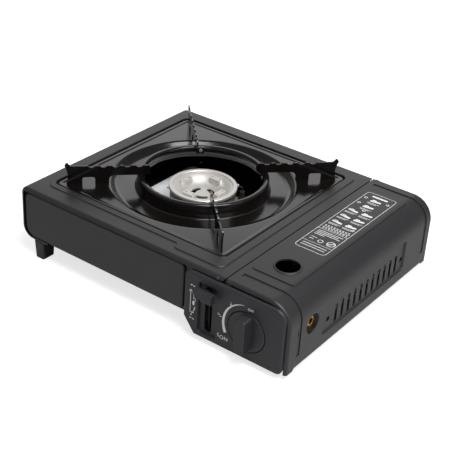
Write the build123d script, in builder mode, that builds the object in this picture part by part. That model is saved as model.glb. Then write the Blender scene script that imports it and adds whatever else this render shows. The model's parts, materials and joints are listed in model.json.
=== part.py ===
from build123d import *
import math
import os

# A butane cassette stove for one cartridge, in millimetres, +Z up, front towards -Y.
# The origin is at the middle of the footprint, on the surface that the stove stands on.

os.makedirs("parts", exist_ok=True)

# ------------------------------------------------------------------ driving dimensions

# Case
sheet = 1.0                 # pressed steel of the case
tray_size = 224.0           # square drip tray, across its sides
left_margin = 22.8          # deck from the left side to the tray
right_margin = 23.2         # deck from the tray to the seam
front_margin = 28.85        # deck from the front to the tray
back_margin = 22.15         # deck from the tray to the back
seam_gap = 1.3              # slit between deck and lid
lid_width = 74.7            # cartridge lid, across
leg_height = 21.0           # underside of the wrap
wrap_height = 60.5          # wrap, from its underside to the deck
control_reach = 16.0        # how far the knob's grip stands in front of the case
top_left_radius = 7.5
bottom_left_radius = 15.0
deck_bend = 4.0             # bend between the deck and its front and back lips
lip = 3.8                   # width of the lips round the front and back openings
wrap_return = 37.0          # width of the wrap's turned-in bottom
seam_corner = 5.0           # rounding of the deck's corners at the seam

# Platform and well round the tray
platform_rise = 1.0
platform_side = 18.7        # platform's edge from the left side
platform_front = 19.8       # platform's edge from the front, left part
platform_step = 8.3         # the right part lies this much further forward
platform_step_from_seam = 72.0
platform_seam = 12.3        # platform's edge from the seam
platform_back = 16.0
platform_corner = 9.0
platform_jog = 3.9
tray_gap = 1.8
tray_drop = 2.0             # tray's land below the platform
well_ledge = 6.0
well_corner = 8.0

# Drip tray
tray_sheet = 0.9
tray_corner = 7.0
tray_flange = 3.0
dish_radius = 100.3
dish_depth = 7.0
dish_wall = 6.0             # width of the dish's sloping wall
ring_base_radius = 71.8
ring_rim_radius = 69.9
ring_inner_radius = 66.0
ring_height = 9.0          # rim above the land
ring_skirt = 9.5            # height of the ring's inner skirt

# Pot supports
support_sheet = 1.8
support_reach = 148.0       # blade's tip from the burner's axis
support_top = 21.0          # bearing edge above the land
support_horn = 3.6          # horn at the tip, above the bearing edge
support_nose = 57.0         # blade's inner end from the burner's axis
wave_pitch = 12.65
wave_depth = 1.9
wave_radius = 6.3
wave_count = 5
outer_wave = 119.6          # outermost valley from the burner's axis
window_inner = 116.3
window_outer = 129.8
window_height = 7.8
arch_outer = 101.5
arch_height = 9.7
rim_clearance = 0.45
tab_angle = -7.5            # riveted tab, degrees round the ring
tab_height = 7.5
rivet_radius = 1.2
rivet_head_radius = 2.3
rivet_head_height = 0.9

# Burner
cap_radius = 37.4
cap_top = 76.5
cap_edge = 2.8              # height of the cap's edge
cap_rim = 4.8               # width of the cap's flat rim
cap_step = 1.2              # rim above the dish's edge
cap_break = 0.5             # broken corner of the rim
cap_depth = 10.5            # hub below the rim
cap_hub_radius = 15.5
cap_sheet = 1.6
kidney_radius = 10.3
kidney_width = 5.6
kidney_sweep = 50.0         # degrees between the ends' centres
boss_radius = 23.0
boss_length = 15.0
boss_width = 7.0
boss_drop = 1.3             # boss tops below the rim
boss_hole_radius = 0.9
boss_hole_pitch = 9.4
crimp_width = 4.0
crimp_reach = 2.0
crimp_height = 1.6
port_height = 5.6
port_count = 84
port_width = 1.3
bowl_radius = 33.0
bowl_clearance = 10.0       # bowl above the reflector
bowl_height = 15.0
bowl_wall = 2.5
tube_radius = 6.5
tube_wall = 1.5
tube_end = 108.0            # air end of the mixing tube from the burner's axis
tube_bell = 10.0
burner_angle = -45.0        # direction of the mixing tube
electrode_angle = 40.0
electrode_reach = 43.0
ceramic_radius = 2.95

# Floor, divider and reflector
floor_drop = 15.0           # cartridge bay's floor below the burner's floor
panel_set = 4.0             # front and back panels behind the lips
panel_flange = 8.0
panel_clearance = 0.2
field_gap = 1.6             # dark gap between the lip and the front panel's field
field_right = 221.5         # field's right edge from the left side
field_bottom = 3.3          # field's lower edge above the wrap's underside
field_top_gap = 0.6
field_low_radius = 13.0
field_top_radius = 9.5
field_right_radius = 6.0
reflector_height = 17.0
reflector_left = 54.0
reflector_inset = 12.0      # plate's right edge, left of the burner's axis
reflector_front = 44.0
reflector_back = 50.0

# Lid
lid_corner = 25.0
lid_bend = 3.0
lid_lip = 3.7
lid_inset = 0.5             # lid's ends behind the case's ends
lid_side_bottom = 8.5
lid_end_bottom = 6.0
lid_low_front = 13.8        # lid's low end, from the front
lid_low_back = 13.0         # lid's low end, from the back
hinge_inset = 3.7           # hinge axis from the lid's left edge
hinge_drop = 3.5            # hinge axis below the deck
hinge_pin_radius = 1.2
running_clearance = 0.05
hinge_ear_radius = 3.0
groove_width = 5.5
groove_depth = 0.9
groove_front = 18.0
groove_back = 15.0
groove_start = 7.0
groove_front_end = 20.0
groove_back_end = 22.0
top_panel_rise = 0.8
top_panel_left = 5.2
top_panel_right = 20.0
top_panel_front = 33.0
top_panel_back = 26.0
top_panel_corner = 4.0
sight_x = 43.4              # sight hole from the right side
sight_y = 57.0              # sight hole from the front
sight_radius = 12.4
sight_lip = 2.6
vent_front = 59.5
vent_back = 55.0
vent_bottom = 20.0
vent_top = 56.0
vent_depth = 1.8
slot_count = 11
slot_pitch = 11.75
slot_first = 86.0
slot_width = 4.6
slot_bottom = 22.6
slot_top = 43.8
vent_hole_radius = 2.9
vent_hole_before = 14.7     # hole in front of the first slot
vent_hole_after = 11.8      # hole behind the last slot
vent_hole_height = 33.6
window_y = 40.0
window_z = 45.8
window_radius = 10.5

# Control panel
control_width = 116.5
control_right = 4.0         # panel's right edge from the case's right side
control_bottom = 6.0
control_top = 76.5
control_front = 3.5         # panel's face in front of the case
control_wall = 2.0
control_left_radius = 8.0
control_right_radius = 11.0
control_low_radius = 6.0
control_cut_width = 13.0
control_cut_height = 17.0
control_edge = 2.5
channel_width = 22.0
channel_bottom = 11.5
channel_top = 69.0
channel_depth = 2.5
slot_gap = 3.3              # lever slot on each side of the lever's plate

# Knob
knob_x = 45.2               # knob's axis from the right side
knob_z = 37.6
knob_radius = 21.1
knob_gap = 0.9
knob_disc = 0.6
grip_width = 13.0
grip_corner = 3.0
grip_length = 38.0
spindle_radius = 3.0

# Cartridge lock
lever_plate = 2.0
lever_from_divider = 1.3
pivot_y = 40.0
pivot_z = 42.0
pivot_radius = 2.0
lever_hub = 7.0
lever_arm = 10.0
lever_tilt = 21.5           # arm's tilt above level at rest, degrees
thumb_width = 22.0
thumb_height = 10.5
thumb_depth = 7.5
thumb_drop = 1.5            # thumb piece below the arm's end
thumb_flat = 4.5            # thickness of its flat left part
crank_radius = 11.5
crank_pin_radius = 1.5
carriage_sheet = 2.0
carriage_y = 62.0
carriage_height = 64.0
carriage_corner = 8.0
carriage_shoulder = 22.0    # slope that clears the lid's bend
collar_radius = 21.0
slide_clearance = 0.3

# Cartridge, valve and igniter
cartridge_x = 41.0          # cartridge's axis from the right side
cartridge_z = 45.0
cartridge_radius = 33.0
cartridge_length = 185.0
valve_width = 48.0
valve_height = 38.0
valve_front = 12.0
valve_depth = 32.0
seat_radius = 18.0
seat_depth = 6.0
seal_radius = 7.0
seal_depth = 1.5
inlet_y = 41.0
inlet_z = 46.6
inlet_radius = 6.0
inlet_bore = 3.5
inlet_bore_depth = 12.0
inlet_end = 3.0             # inlet's face from the case's right side
pipe_radius = 2.5
pipe_z = 28.0
pipe_y = 34.0
igniter_radius = 5.0
lead_radius = 1.4

# ------------------------------------------------------------------ worked out from them

case_width = left_margin + tray_size + right_margin + seam_gap + lid_width
case_depth = front_margin + tray_size + back_margin
deck_height = leg_height + wrap_height
left = -case_width / 2
right = case_width / 2
front = -(case_depth + control_reach) / 2 + control_reach
back = front + case_depth
tray_x = left + left_margin + tray_size / 2
tray_y = front + front_margin + tray_size / 2
seam = right - lid_width - seam_gap
lid_left = right - lid_width
platform_top = deck_height + platform_rise
land = platform_top - tray_drop
ledge = land - tray_flange
well_half = tray_size / 2 + tray_gap
divider = tray_x + well_half + sheet + panel_clearance + sheet + panel_clearance
divider_right = divider + sheet
floor_top = leg_height + 2 * sheet
bay_floor = floor_top - floor_drop
reflector_top = floor_top + reflector_height
bowl_low = reflector_top + bowl_clearance
bowl_top = bowl_low + bowl_height
burner_axis = Axis((tray_x, tray_y, 0), (0, 0, 1))
hinge_x = lid_left + hinge_inset
hinge_z = deck_height - hinge_drop


def front_plane(y):
    """Upright sketch plane facing forwards: its x is +X and its y is +Z."""
    return Plane(origin=(0, y, 0), x_dir=(1, 0, 0), z_dir=(0, -1, 0))


def side_plane(x):
    """Upright sketch plane facing right: its x is +Y and its y is +Z."""
    return Plane(origin=(x, 0, 0), x_dir=(0, 1, 0), z_dir=(1, 0, 0))


def burner_plane(angle):
    """Upright plane through the burner's axis: its x runs outwards at an angle, its y is +Z."""
    across = math.radians(angle)
    return Plane(
        origin=(tray_x, tray_y, 0),
        x_dir=(math.cos(across), math.sin(across), 0),
        z_dir=(math.sin(across), -math.cos(across), 0),
    )


def save(piece, name):
    """Label a finished piece and write it to its own file."""
    piece.part.label = name
    export_step(piece.part, f"parts/{name}.step")


def span(low_x, high_x, low_y, high_y):
    """A rectangle between two sketch corners."""
    with BuildSketch(mode=Mode.PRIVATE) as area:
        with Locations(((low_x + high_x) / 2, (low_y + high_y) / 2)):
            Rectangle(high_x - low_x, high_y - low_y)
    return area.sketch


def round_corner(sketch, x, y, radius):
    """Round the corner of the sketch under way that is nearest to a place."""
    fillet(sketch.vertices().sort_by_distance((x, y, 0))[0], radius)


# ------------------------------------------------------------------ body shell


def wrap_section(inset, beyond):
    """Section of the wrap seen from the front, inset from its skin, up to beyond the seam."""
    with BuildSketch() as section:
        add(span(left + inset, seam + beyond, leg_height + inset, deck_height - inset))
        round_corner(section, left, leg_height, bottom_left_radius - inset)
        round_corner(section, left, deck_height, top_left_radius - inset)
    return section.sketch


def platform_outline(inset):
    """Plan of the raised platform, which steps forward in its right part."""
    low_x = left + platform_side + inset
    high_x = seam - platform_seam - inset
    step_x = seam - platform_step_from_seam + inset
    low_y = front + platform_front + inset
    high_y = back - platform_back - inset
    with BuildSketch() as plan:
        add(span(low_x, high_x, low_y, high_y))
        add(span(step_x, high_x, low_y - platform_step, high_y))
        round_corner(plan, step_x, low_y - platform_step, platform_jog)
        round_corner(plan, step_x, low_y, platform_jog)
        round_corner(plan, high_x, low_y - platform_step, platform_corner - inset)
        round_corner(plan, low_x, low_y, platform_corner - inset)
        round_corner(plan, low_x, high_y, platform_corner - inset)
        round_corner(plan, high_x, high_y, platform_corner - inset)
    return plan.sketch


wrap_skin = wrap_section(0, 0)
wrap_hollow = wrap_section(sheet, sheet)
wrap_mouth = wrap_section(lip, sheet)
platform_skin = platform_outline(0)
platform_hollow = platform_outline(sheet)

with BuildPart() as shell_hollow:
    with BuildSketch(front_plane(front + sheet)):
        add(wrap_hollow)
    extrude(amount=-(case_depth - 2 * sheet))
    ends = shell_hollow.faces().filter_by(Axis.Y)
    rims = ends.edges().filter_by(lambda e: e.center().X < seam)
    fillet(rims, deck_bend - sheet)

with BuildPart() as body_shell:
    with BuildSketch(front_plane(front)):
        add(wrap_skin)
    extrude(amount=-case_depth)
    ends = body_shell.faces().filter_by(Axis.Y)
    rims = ends.edges().filter_by(lambda e: e.center().X < seam - sheet)
    fillet(rims, deck_bend)
    # platform, pressed up out of the deck
    with BuildSketch(Plane.XY.offset(deck_height)):
        add(platform_skin)
    extrude(amount=platform_rise)
    top = body_shell.faces().sort_by(Axis.Z)[-1]
    chamfer(top.edges(), platform_rise * 0.7)
    # hollow of the wrap and of the platform
    add(shell_hollow.part, mode=Mode.SUBTRACT)
    with BuildSketch(Plane.XY.offset(deck_height - sheet)):
        add(platform_hollow)
    extrude(amount=platform_rise, mode=Mode.SUBTRACT)
    # mouths at the front and the back
    with BuildSketch(front_plane(front - sheet)):
        add(wrap_mouth)
    extrude(amount=-(deck_bend + sheet), mode=Mode.SUBTRACT)
    with BuildSketch(front_plane(back - deck_bend)):
        add(wrap_mouth)
    extrude(amount=-(deck_bend + sheet), mode=Mode.SUBTRACT)
    # open bottom beyond the turned-in return
    with BuildSketch(front_plane(front - sheet)):
        add(span(left + wrap_return, seam + sheet, leg_height - sheet, leg_height + lip + sheet))
    extrude(amount=-(case_depth + 2 * sheet), mode=Mode.SUBTRACT)
    # joggled well for the tray
    with BuildSketch(Plane.XY.offset(ledge - sheet)):
        with Locations((tray_x, tray_y)):
            well_side = 2 * (well_half + sheet)
            RectangleRounded(well_side, well_side, well_corner + sheet)
    extrude(amount=deck_height - ledge + sheet)
    with BuildSketch(Plane.XY.offset(ledge)):
        with Locations((tray_x, tray_y)):
            RectangleRounded(2 * well_half, 2 * well_half, well_corner)
    extrude(amount=platform_top - ledge + sheet, mode=Mode.SUBTRACT)
    with BuildSketch(Plane.XY.offset(ledge - 2 * sheet)):
        with Locations((tray_x, tray_y)):
            opening = 2 * (well_half - well_ledge)
            RectangleRounded(opening, opening, well_corner)
    extrude(amount=3 * sheet, mode=Mode.SUBTRACT)
    # rounded corners at the seam
    with BuildSketch(Plane.XY.offset(deck_height - deck_bend - sheet)):
        for corner_y, inward in ((front, 1), (back, -1)):
            centre_y = corner_y + inward * seam_corner
            with Locations((seam - seam_corner / 2, corner_y + inward * seam_corner / 2)):
                Rectangle(seam_corner, seam_corner)
            with Locations((seam - seam_corner, centre_y)):
                Circle(seam_corner, mode=Mode.SUBTRACT)
    extrude(amount=deck_bend + 2 * sheet, mode=Mode.SUBTRACT)
save(body_shell, "body_shell")

# ------------------------------------------------------------------ front and back panels

panel_x = left + sheet + panel_clearance
panel_low = leg_height + sheet + panel_clearance
panel_high = deck_height - sheet - panel_clearance
panel_seam = seam - 2 * sheet
bay_low = bay_floor + panel_clearance
bay_right = right - lid_width / 12
bay_high = deck_height - hinge_drop - sheet
eye_radius = 2 * hinge_pin_radius


def panel_outline():
    """Front and back panels seen from the front, stepped down at the cartridge bay."""
    with BuildSketch() as outline:
        add(span(panel_x, panel_seam, panel_low, panel_high))
        round_corner(outline, panel_x, panel_low, bottom_left_radius - sheet - panel_clearance)
        round_corner(outline, panel_x, panel_high, top_left_radius - sheet - panel_clearance)
        # the seam edge of the lid swings through here
        add(span(panel_seam, hinge_x, hinge_z - 2 * hinge_inset, panel_high), mode=Mode.SUBTRACT)
        add(span(divider, hinge_x, bay_low, hinge_z - 1.5 * hinge_inset))
        add(span(hinge_x, bay_right, bay_low, bay_high))
        round_corner(outline, bay_right, bay_high, lid_corner - hinge_drop - sheet)
        with Locations((hinge_x, hinge_z)):
            Circle(eye_radius)
            Circle(hinge_pin_radius, mode=Mode.SUBTRACT)
    return outline.sketch


panel_shape = panel_outline()
slot_x = divider_right + lever_from_divider + lever_plate / 2
lever_slot_width = lever_plate + 2 * slot_gap
knob_axis_x = right - knob_x
lever_slot_low = pivot_z - lever_arm / 2 - (control_reach + pivot_y) * math.sin(math.radians(lever_tilt))
lever_slot_high = 2 * pivot_z - lever_slot_low

with BuildPart() as front_panel:
    with BuildSketch(front_plane(front + panel_set)):
        add(panel_shape)
    extrude(amount=-sheet)
    # raised field, nearly flush with the lips
    field_face = panel_set - sheet / 2
    with BuildSketch(front_plane(front + panel_set)) as field:
        field_left = left + lip + field_gap
        field_low = leg_height + field_bottom
        field_high = deck_height - lip - field_top_gap
        add(span(field_left, left + field_right, field_low, field_high))
        round_corner(field, field_left, field_low, field_low_radius)
        round_corner(field, field_left, field_high, field_top_radius)
        round_corner(field, left + field_right, field_low, field_right_radius)
        round_corner(field, left + field_right, field_high, field_right_radius)
    extrude(amount=field_face)
    fillet(front_panel.faces().sort_by(Axis.Y)[0].edges(), field_face * 0.7)
    with BuildSketch(front_plane(front + panel_set + sheet)):
        offset(field.sketch_local, amount=-sheet)
    extrude(amount=field_face, mode=Mode.SUBTRACT)
    # flange along the wrap
    with BuildSketch(front_plane(front + panel_set + sheet)):
        add(panel_shape)
        offset(panel_shape, amount=-sheet, mode=Mode.SUBTRACT)
        add(span(panel_seam - sheet, right, 0, deck_height), mode=Mode.SUBTRACT)
        add(span(left + wrap_return, right, 0, leg_height + 4 * sheet), mode=Mode.SUBTRACT)
    extrude(amount=-panel_flange)
    # openings for the lever and the spindle
    with BuildSketch(front_plane(front + panel_set - sheet)):
        add(span(divider_right + panel_clearance, slot_x + lever_slot_width / 2,
                 lever_slot_low, lever_slot_high - sheet))
        with Locations((knob_axis_x, knob_z)):
            Circle(spindle_radius + 1)
    extrude(amount=-3 * sheet, mode=Mode.SUBTRACT)
save(front_panel, "front_panel")

louvre_count = 8
louvre_pitch = 14.0
louvre_width = 3.0
louvre_low = 42.0
louvre_high = 67.0

with BuildPart() as back_panel:
    with BuildSketch(front_plane(back - panel_set - sheet)):
        add(panel_shape)
        # air slots behind the burner
        for step in range(louvre_count):
            louvre_x = tray_x + (step - (louvre_count - 1) / 2) * louvre_pitch
            with Locations((louvre_x, (louvre_low + louvre_high) / 2)):
                SlotOverall(louvre_high - louvre_low, louvre_width, rotation=90, mode=Mode.SUBTRACT)
    extrude(amount=-sheet)
    with BuildSketch(front_plane(back - panel_set - sheet - panel_flange)):
        add(panel_shape)
        offset(panel_shape, amount=-sheet, mode=Mode.SUBTRACT)
        add(span(panel_seam - sheet, right, 0, deck_height), mode=Mode.SUBTRACT)
        add(span(left + wrap_return, right, 0, leg_height + 4 * sheet), mode=Mode.SUBTRACT)
    extrude(amount=-panel_flange)
save(back_panel, "back_panel")

# ------------------------------------------------------------------ floor, divider, reflector

floor_front = front + panel_set + sheet + panel_clearance
floor_back = back - panel_set - sheet - panel_clearance
floor_left = left + bottom_left_radius + panel_clearance
floor_mid = divider - panel_clearance
floor_rim = 10.0

with BuildPart() as base_plate:
    with BuildSketch(front_plane(floor_front)):
        add(span(floor_left, floor_mid, floor_top - sheet, floor_top))
        add(span(floor_mid - sheet, floor_mid, bay_floor - sheet, floor_top))
        add(span(floor_mid - sheet, bay_right, bay_floor - sheet, bay_floor))
        add(span(bay_right - sheet, bay_right, bay_floor - sheet, bay_floor + floor_rim))
    extrude(amount=-(floor_back - floor_front))
    # clear of the panels' flanges
    with BuildSketch(Plane.XY.offset(floor_top - 2 * sheet)):
        flange_run = panel_flange + panel_clearance
        add(span(floor_left - sheet, left + wrap_return + sheet, floor_front - sheet, floor_front + flange_run))
        add(span(floor_left - sheet, left + wrap_return + sheet, floor_back - flange_run, floor_back + sheet))
    extrude(amount=3 * sheet, mode=Mode.SUBTRACT)
save(base_plate, "base_plate")

divider_flange = 7.0
deck_flange = seam - 3 * sheet - divider_right
shield_front = floor_front + panel_flange + panel_clearance
shield_back = floor_back - panel_flange - panel_clearance
pipe_y_at = front + pipe_y
pipe_z_at = pipe_z
lead_y = front + 30.0
lead_z = 68.5
strip_sheet = 2.0
strip_width = 40.0
strip_low = bowl_low - strip_sheet

with BuildPart() as heat_shield:
    with BuildSketch(front_plane(floor_front)):
        add(span(divider, divider_right, bay_floor, panel_high - sheet - panel_clearance))
        add(span(divider, divider_right + divider_flange, bay_floor, bay_floor + sheet))
    extrude(amount=-(floor_back - floor_front))
    with BuildSketch(front_plane(shield_front)):
        add(span(divider, divider_right, bay_floor, deck_height - sheet))
        add(span(divider, divider_right + deck_flange, deck_height - 2 * sheet, deck_height - sheet))
    extrude(amount=-(shield_back - shield_front))
    # holes for the gas pipe, the ignition lead, the pivot and the heat strip
    with BuildSketch(side_plane(divider - sheet)):
        with Locations((pipe_y_at, pipe_z_at)):
            Circle(pipe_radius + 0.3)
        with Locations((lead_y, lead_z)):
            Circle(lead_radius + 0.3)
        with Locations((front + pivot_y, pivot_z)):
            Circle(pivot_radius)
        half_strip = strip_width / 2 + 0.3
        add(span(tray_y - half_strip, tray_y + half_strip, strip_low - 0.3, strip_low + strip_sheet + 0.3))
    extrude(amount=3 * sheet, mode=Mode.SUBTRACT)
save(heat_shield, "heat_shield")

jet_reach = tube_end + 15.0
jet_block = 12.0
jet_dir = burner_plane(burner_angle).x_dir
jet_place = Vector(tray_x, tray_y, 0) + jet_dir * jet_reach
reflector_x = (left + reflector_left, tray_x - reflector_inset)
reflector_y = (front + reflector_front, back - reflector_back)

with BuildPart() as reflector_plate:
    with BuildSketch(Plane.XY.offset(reflector_top - sheet)) as plan:
        add(span(*reflector_x, *reflector_y))
        fillet(plan.vertices(), platform_corner)
    extrude(amount=sheet)
    # folded feet on the floor
    foot_run = 50.0
    for foot_y in reflector_y:
        outer = 1 if foot_y > tray_y else -1
        mid_x = (reflector_x[0] + reflector_x[1]) / 2
        with BuildSketch(Plane.XY.offset(floor_top)):
            with Locations((mid_x, foot_y - outer * sheet / 2)):
                Rectangle(foot_run, sheet)
        extrude(amount=reflector_height - sheet)
save(reflector_plate, "reflector_plate")

# ------------------------------------------------------------------ feet

leg_width = 13.6
leg_depth = 18.5
leg_taper = 2.0
leg_x = left + bottom_left_radius + 1.0 + leg_width / 2
leg_set = 10.8

for name, leg_y in (("left_leg_front", front + leg_set), ("left_leg_rear", back - leg_set)):
    with BuildPart() as left_leg:
        with BuildSketch(Plane.XY.offset(leg_height)):
            with Locations((leg_x, leg_y)):
                RectangleRounded(leg_width, leg_depth, leg_taper)
        with BuildSketch():
            with Locations((leg_x, leg_y)):
                RectangleRounded(leg_width - leg_taper, leg_depth - leg_taper, leg_taper)
        loft()
    save(left_leg, name)

foot_radius = 8.0
foot_x = right - lid_width / 3
foot_set = 22.0

for name, foot_y in (("right_foot_front", front + foot_set), ("right_foot_rear", back - foot_set)):
    with BuildPart() as right_foot:
        with BuildSketch(Plane(origin=(foot_x, foot_y, 0), x_dir=(1, 0, 0), z_dir=(0, -1, 0))):
            with BuildLine():
                sole = foot_radius - 1
                Polyline((0, 0), (sole, 0), (foot_radius, 1), (foot_radius - 0.5, bay_floor - sheet))
                Polyline((foot_radius - 0.5, bay_floor - sheet), (0, bay_floor - sheet), (0, 0))
            make_face()
        revolve(axis=Axis((foot_x, foot_y, 0), (0, 0, 1)))
    save(right_foot, name)

# ------------------------------------------------------------------ drip tray

land_mid = land - tray_sheet / 2
dish_floor = land - dish_depth
floor_line = dish_floor - tray_sheet / 2
ring_top = land + ring_height
skirt_low = ring_top - ring_skirt
ring_skin = ring_inner_radius - tray_sheet / 2
rivet_z = ring_top - 3.6
support_angles = (45, 135, 225, 315)
tab_middle = tab_angle * 0.55

with BuildPart() as drip_tray:
    with BuildSketch(Plane.XY.offset(land - tray_sheet)):
        with Locations((tray_x, tray_y)):
            RectangleRounded(tray_size, tray_size, tray_corner)
            Circle(dish_radius + 1, mode=Mode.SUBTRACT)
    extrude(amount=tray_sheet)
    with BuildSketch(Plane.XY.offset(ledge)):
        with Locations((tray_x, tray_y)):
            inner_side = tray_size - 2 * tray_sheet
            RectangleRounded(tray_size, tray_size, tray_corner)
            RectangleRounded(inner_side, inner_side, tray_corner - tray_sheet, mode=Mode.SUBTRACT)
    extrude(amount=tray_flange)
    # dish, ring and rolled rim
    with BuildSketch(burner_plane(0)):
        with BuildLine() as section:
            FilletPolyline(
                (dish_radius + 4, land_mid),
                (dish_radius, land_mid),
                (dish_radius - dish_wall, floor_line),
                (ring_base_radius, floor_line),
                (ring_rim_radius, ring_top - tray_sheet / 2),
                (ring_inner_radius, ring_top - tray_sheet / 2),
                (ring_inner_radius, skirt_low),
                radius=1.6,
            )
        trace(section.line, line_width=tray_sheet)
    revolve(axis=burner_axis)
    # rivet holes in the ring's inner skirt
    for angle in support_angles:
        rivet_line = burner_plane(angle + tab_middle)
        with BuildSketch(Plane(origin=(tray_x, tray_y, rivet_z), x_dir=(0, 0, 1), z_dir=rivet_line.x_dir)):
            Circle(rivet_radius)
        extrude(amount=ring_inner_radius + 1.2, mode=Mode.SUBTRACT)
save(drip_tray, "drip_tray")

# ------------------------------------------------------------------ pot supports

bearing = land + support_top
arch_top = land + arch_height
notch_top = ring_top + rim_clearance
notch_inner = ring_skin - rim_clearance
notch_outer = ring_rim_radius + tray_sheet / 2 + rim_clearance
horn_top = bearing + support_horn
band_outer = ring_skin - 0.1
band_inner = band_outer - 1.5
band_low = rivet_z - tab_height / 2

with BuildSketch() as blade_shape:
    with BuildLine():
        foot_out = (support_reach - 1.2, land)
        shoulder = (support_reach - 0.3, bearing - 1)
        ThreePointArc(foot_out, (support_reach - 2.8, land + 10), shoulder)
        tip = (support_reach - 0.8, horn_top - 1)
        Spline(shoulder, (support_reach + 0.1, bearing + 1.4), tip, (support_reach - 2.6, horn_top))
        horn_back = (support_reach - 6.0, bearing + 0.2)
        Spline((support_reach - 2.6, horn_top), (support_reach - 4.2, bearing + 1.6), horn_back)
        Polyline(
            horn_back,
            (support_reach - 8, bearing),
            (support_nose + 4, bearing),
        )
        nose_low = (support_nose + 2.5, land + 10.6)
        ThreePointArc((support_nose + 4, bearing), (support_nose, bearing - 5.5), nose_low)
        Polyline(
            nose_low,
            (support_nose + 6.4, land + 8.6),
            (support_nose + 7, band_low),
            (notch_inner, band_low),
            (notch_inner, notch_top),
            (notch_outer, notch_top),
            (notch_outer, arch_top),
            (arch_outer - 6, arch_top),
        )
        ThreePointArc((arch_outer - 6, arch_top), (arch_outer - 1.6, arch_top - 1.6), (arch_outer, arch_top - 6))
        Polyline((arch_outer, arch_top - 6), (arch_outer, land), foot_out)
    make_face()
    # wavy bearing edge
    for wave in range(wave_count):
        with Locations((outer_wave - wave * wave_pitch, bearing - wave_depth + wave_radius)):
            Circle(wave_radius, mode=Mode.SUBTRACT)
    add(span(window_inner, window_outer, land - 1, land + window_height), mode=Mode.SUBTRACT)
    fillet(blade_shape.vertices().filter_by(lambda v: abs(v.Y - land - window_height) < 0.01), 2.5)

for number, angle in enumerate(support_angles, start=1):
    blade_plane = burner_plane(angle)
    with BuildPart() as pot_support:
        with BuildSketch(blade_plane):
            add(blade_shape.sketch)
        extrude(amount=support_sheet / 2, both=True)
        # tab bent round the inside of the ring
        band_plane = Plane(origin=(tray_x, tray_y, band_low), x_dir=blade_plane.x_dir, z_dir=(0, 0, 1))
        with BuildSketch(band_plane):
            with BuildLine():
                CenterArc((0, 0), band_outer, 0, tab_angle)
                CenterArc((0, 0), band_inner, 0, tab_angle)
                Line((band_inner, 0), (band_outer, 0))
                Line(
                    (band_inner * math.cos(math.radians(tab_angle)), band_inner * math.sin(math.radians(tab_angle))),
                    (band_outer * math.cos(math.radians(tab_angle)), band_outer * math.sin(math.radians(tab_angle))),
                )
            make_face()
        extrude(amount=tab_height)
        rivet_line = burner_plane(angle + tab_middle)
        with BuildSketch(Plane(origin=(tray_x, tray_y, rivet_z), x_dir=(0, 0, 1), z_dir=rivet_line.x_dir)):
            Circle(rivet_radius)
        extrude(amount=ring_inner_radius, mode=Mode.SUBTRACT)
    save(pot_support, f"pot_support_{number}")

rivet_outer = ring_inner_radius + tray_sheet / 2
rivet_seat = band_inner - 0.05

with BuildPart() as support_rivets:
    for angle in support_angles:
        outwards = burner_plane(angle + tab_middle).x_dir
        middle = Vector(tray_x, tray_y, rivet_z)
        shank_plane = Plane(origin=middle + outwards * rivet_seat, x_dir=(0, 0, 1), z_dir=outwards)
        with BuildSketch(shank_plane):
            Circle(rivet_radius)
        extrude(amount=rivet_outer - rivet_seat)
        with BuildSketch(shank_plane):
            Circle(rivet_head_radius)
        extrude(amount=-rivet_head_height, taper=25)
save(support_rivets, "support_rivets")

# ------------------------------------------------------------------ burner

tube_z = bowl_low + tube_radius
port_outer = cap_radius - 1.6
port_inner = port_outer - 2.5
cap_low = cap_top - cap_edge
port_low = cap_low - port_height
hub_top = cap_top - cap_depth
ear_low = bowl_low + 8
dish_edge = cap_radius - cap_rim

with BuildPart() as burner_bowl:
    with BuildSketch(burner_plane(0)):
        with BuildLine():
            Polyline(
                (0, bowl_low),
                (bowl_radius - 4, bowl_low),
                (bowl_radius, bowl_low + 4),
                (bowl_radius, bowl_top - 2),
                (port_outer, bowl_top - 2),
                (port_outer, bowl_top),
                (bowl_radius - bowl_wall, bowl_top),
                (bowl_radius - bowl_wall, bowl_low + 5),
                (bowl_radius - 6, bowl_low + bowl_wall),
                (0, bowl_low + bowl_wall),
                (0, bowl_low),
            )
        make_face()
    revolve(axis=burner_axis)
    # gas inlet from the mixing tube
    tube_dir = burner_plane(burner_angle).x_dir
    tube_start = Plane(origin=Vector(tray_x, tray_y, tube_z), x_dir=(0, 0, 1), z_dir=tube_dir)
    with BuildSketch(tube_start):
        Circle(tube_radius - tube_wall)
    extrude(amount=bowl_radius + 1, mode=Mode.SUBTRACT)
    # ear for the electrode
    ear_dir = burner_plane(electrode_angle).x_dir
    ear_plane = Plane(origin=(tray_x, tray_y, ear_low), x_dir=ear_dir, z_dir=(0, 0, 1))
    with BuildSketch(ear_plane):
        with Locations((electrode_reach - 5.5, 0)):
            Rectangle(11, 9)
        with Locations((electrode_reach, 0)):
            Circle(4.5)
            Circle(ceramic_radius + running_clearance, mode=Mode.SUBTRACT)
    extrude(amount=2)
save(burner_bowl, "burner_bowl")

with BuildPart() as flame_port_ring:
    with BuildSketch(Plane.XY.offset(bowl_top)):
        with Locations((tray_x, tray_y)):
            Circle(port_outer)
            Circle(port_inner, mode=Mode.SUBTRACT)
    extrude(amount=cap_low - bowl_top)
    with BuildSketch(Plane.XY.offset(port_low)):
        with Locations((tray_x, tray_y)):
            with PolarLocations((port_inner + port_outer) / 2, port_count):
                Rectangle(2 * (port_outer - port_inner), port_width)
    extrude(amount=cap_low - port_low, mode=Mode.SUBTRACT)
save(flame_port_ring, "flame_port_ring")

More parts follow.
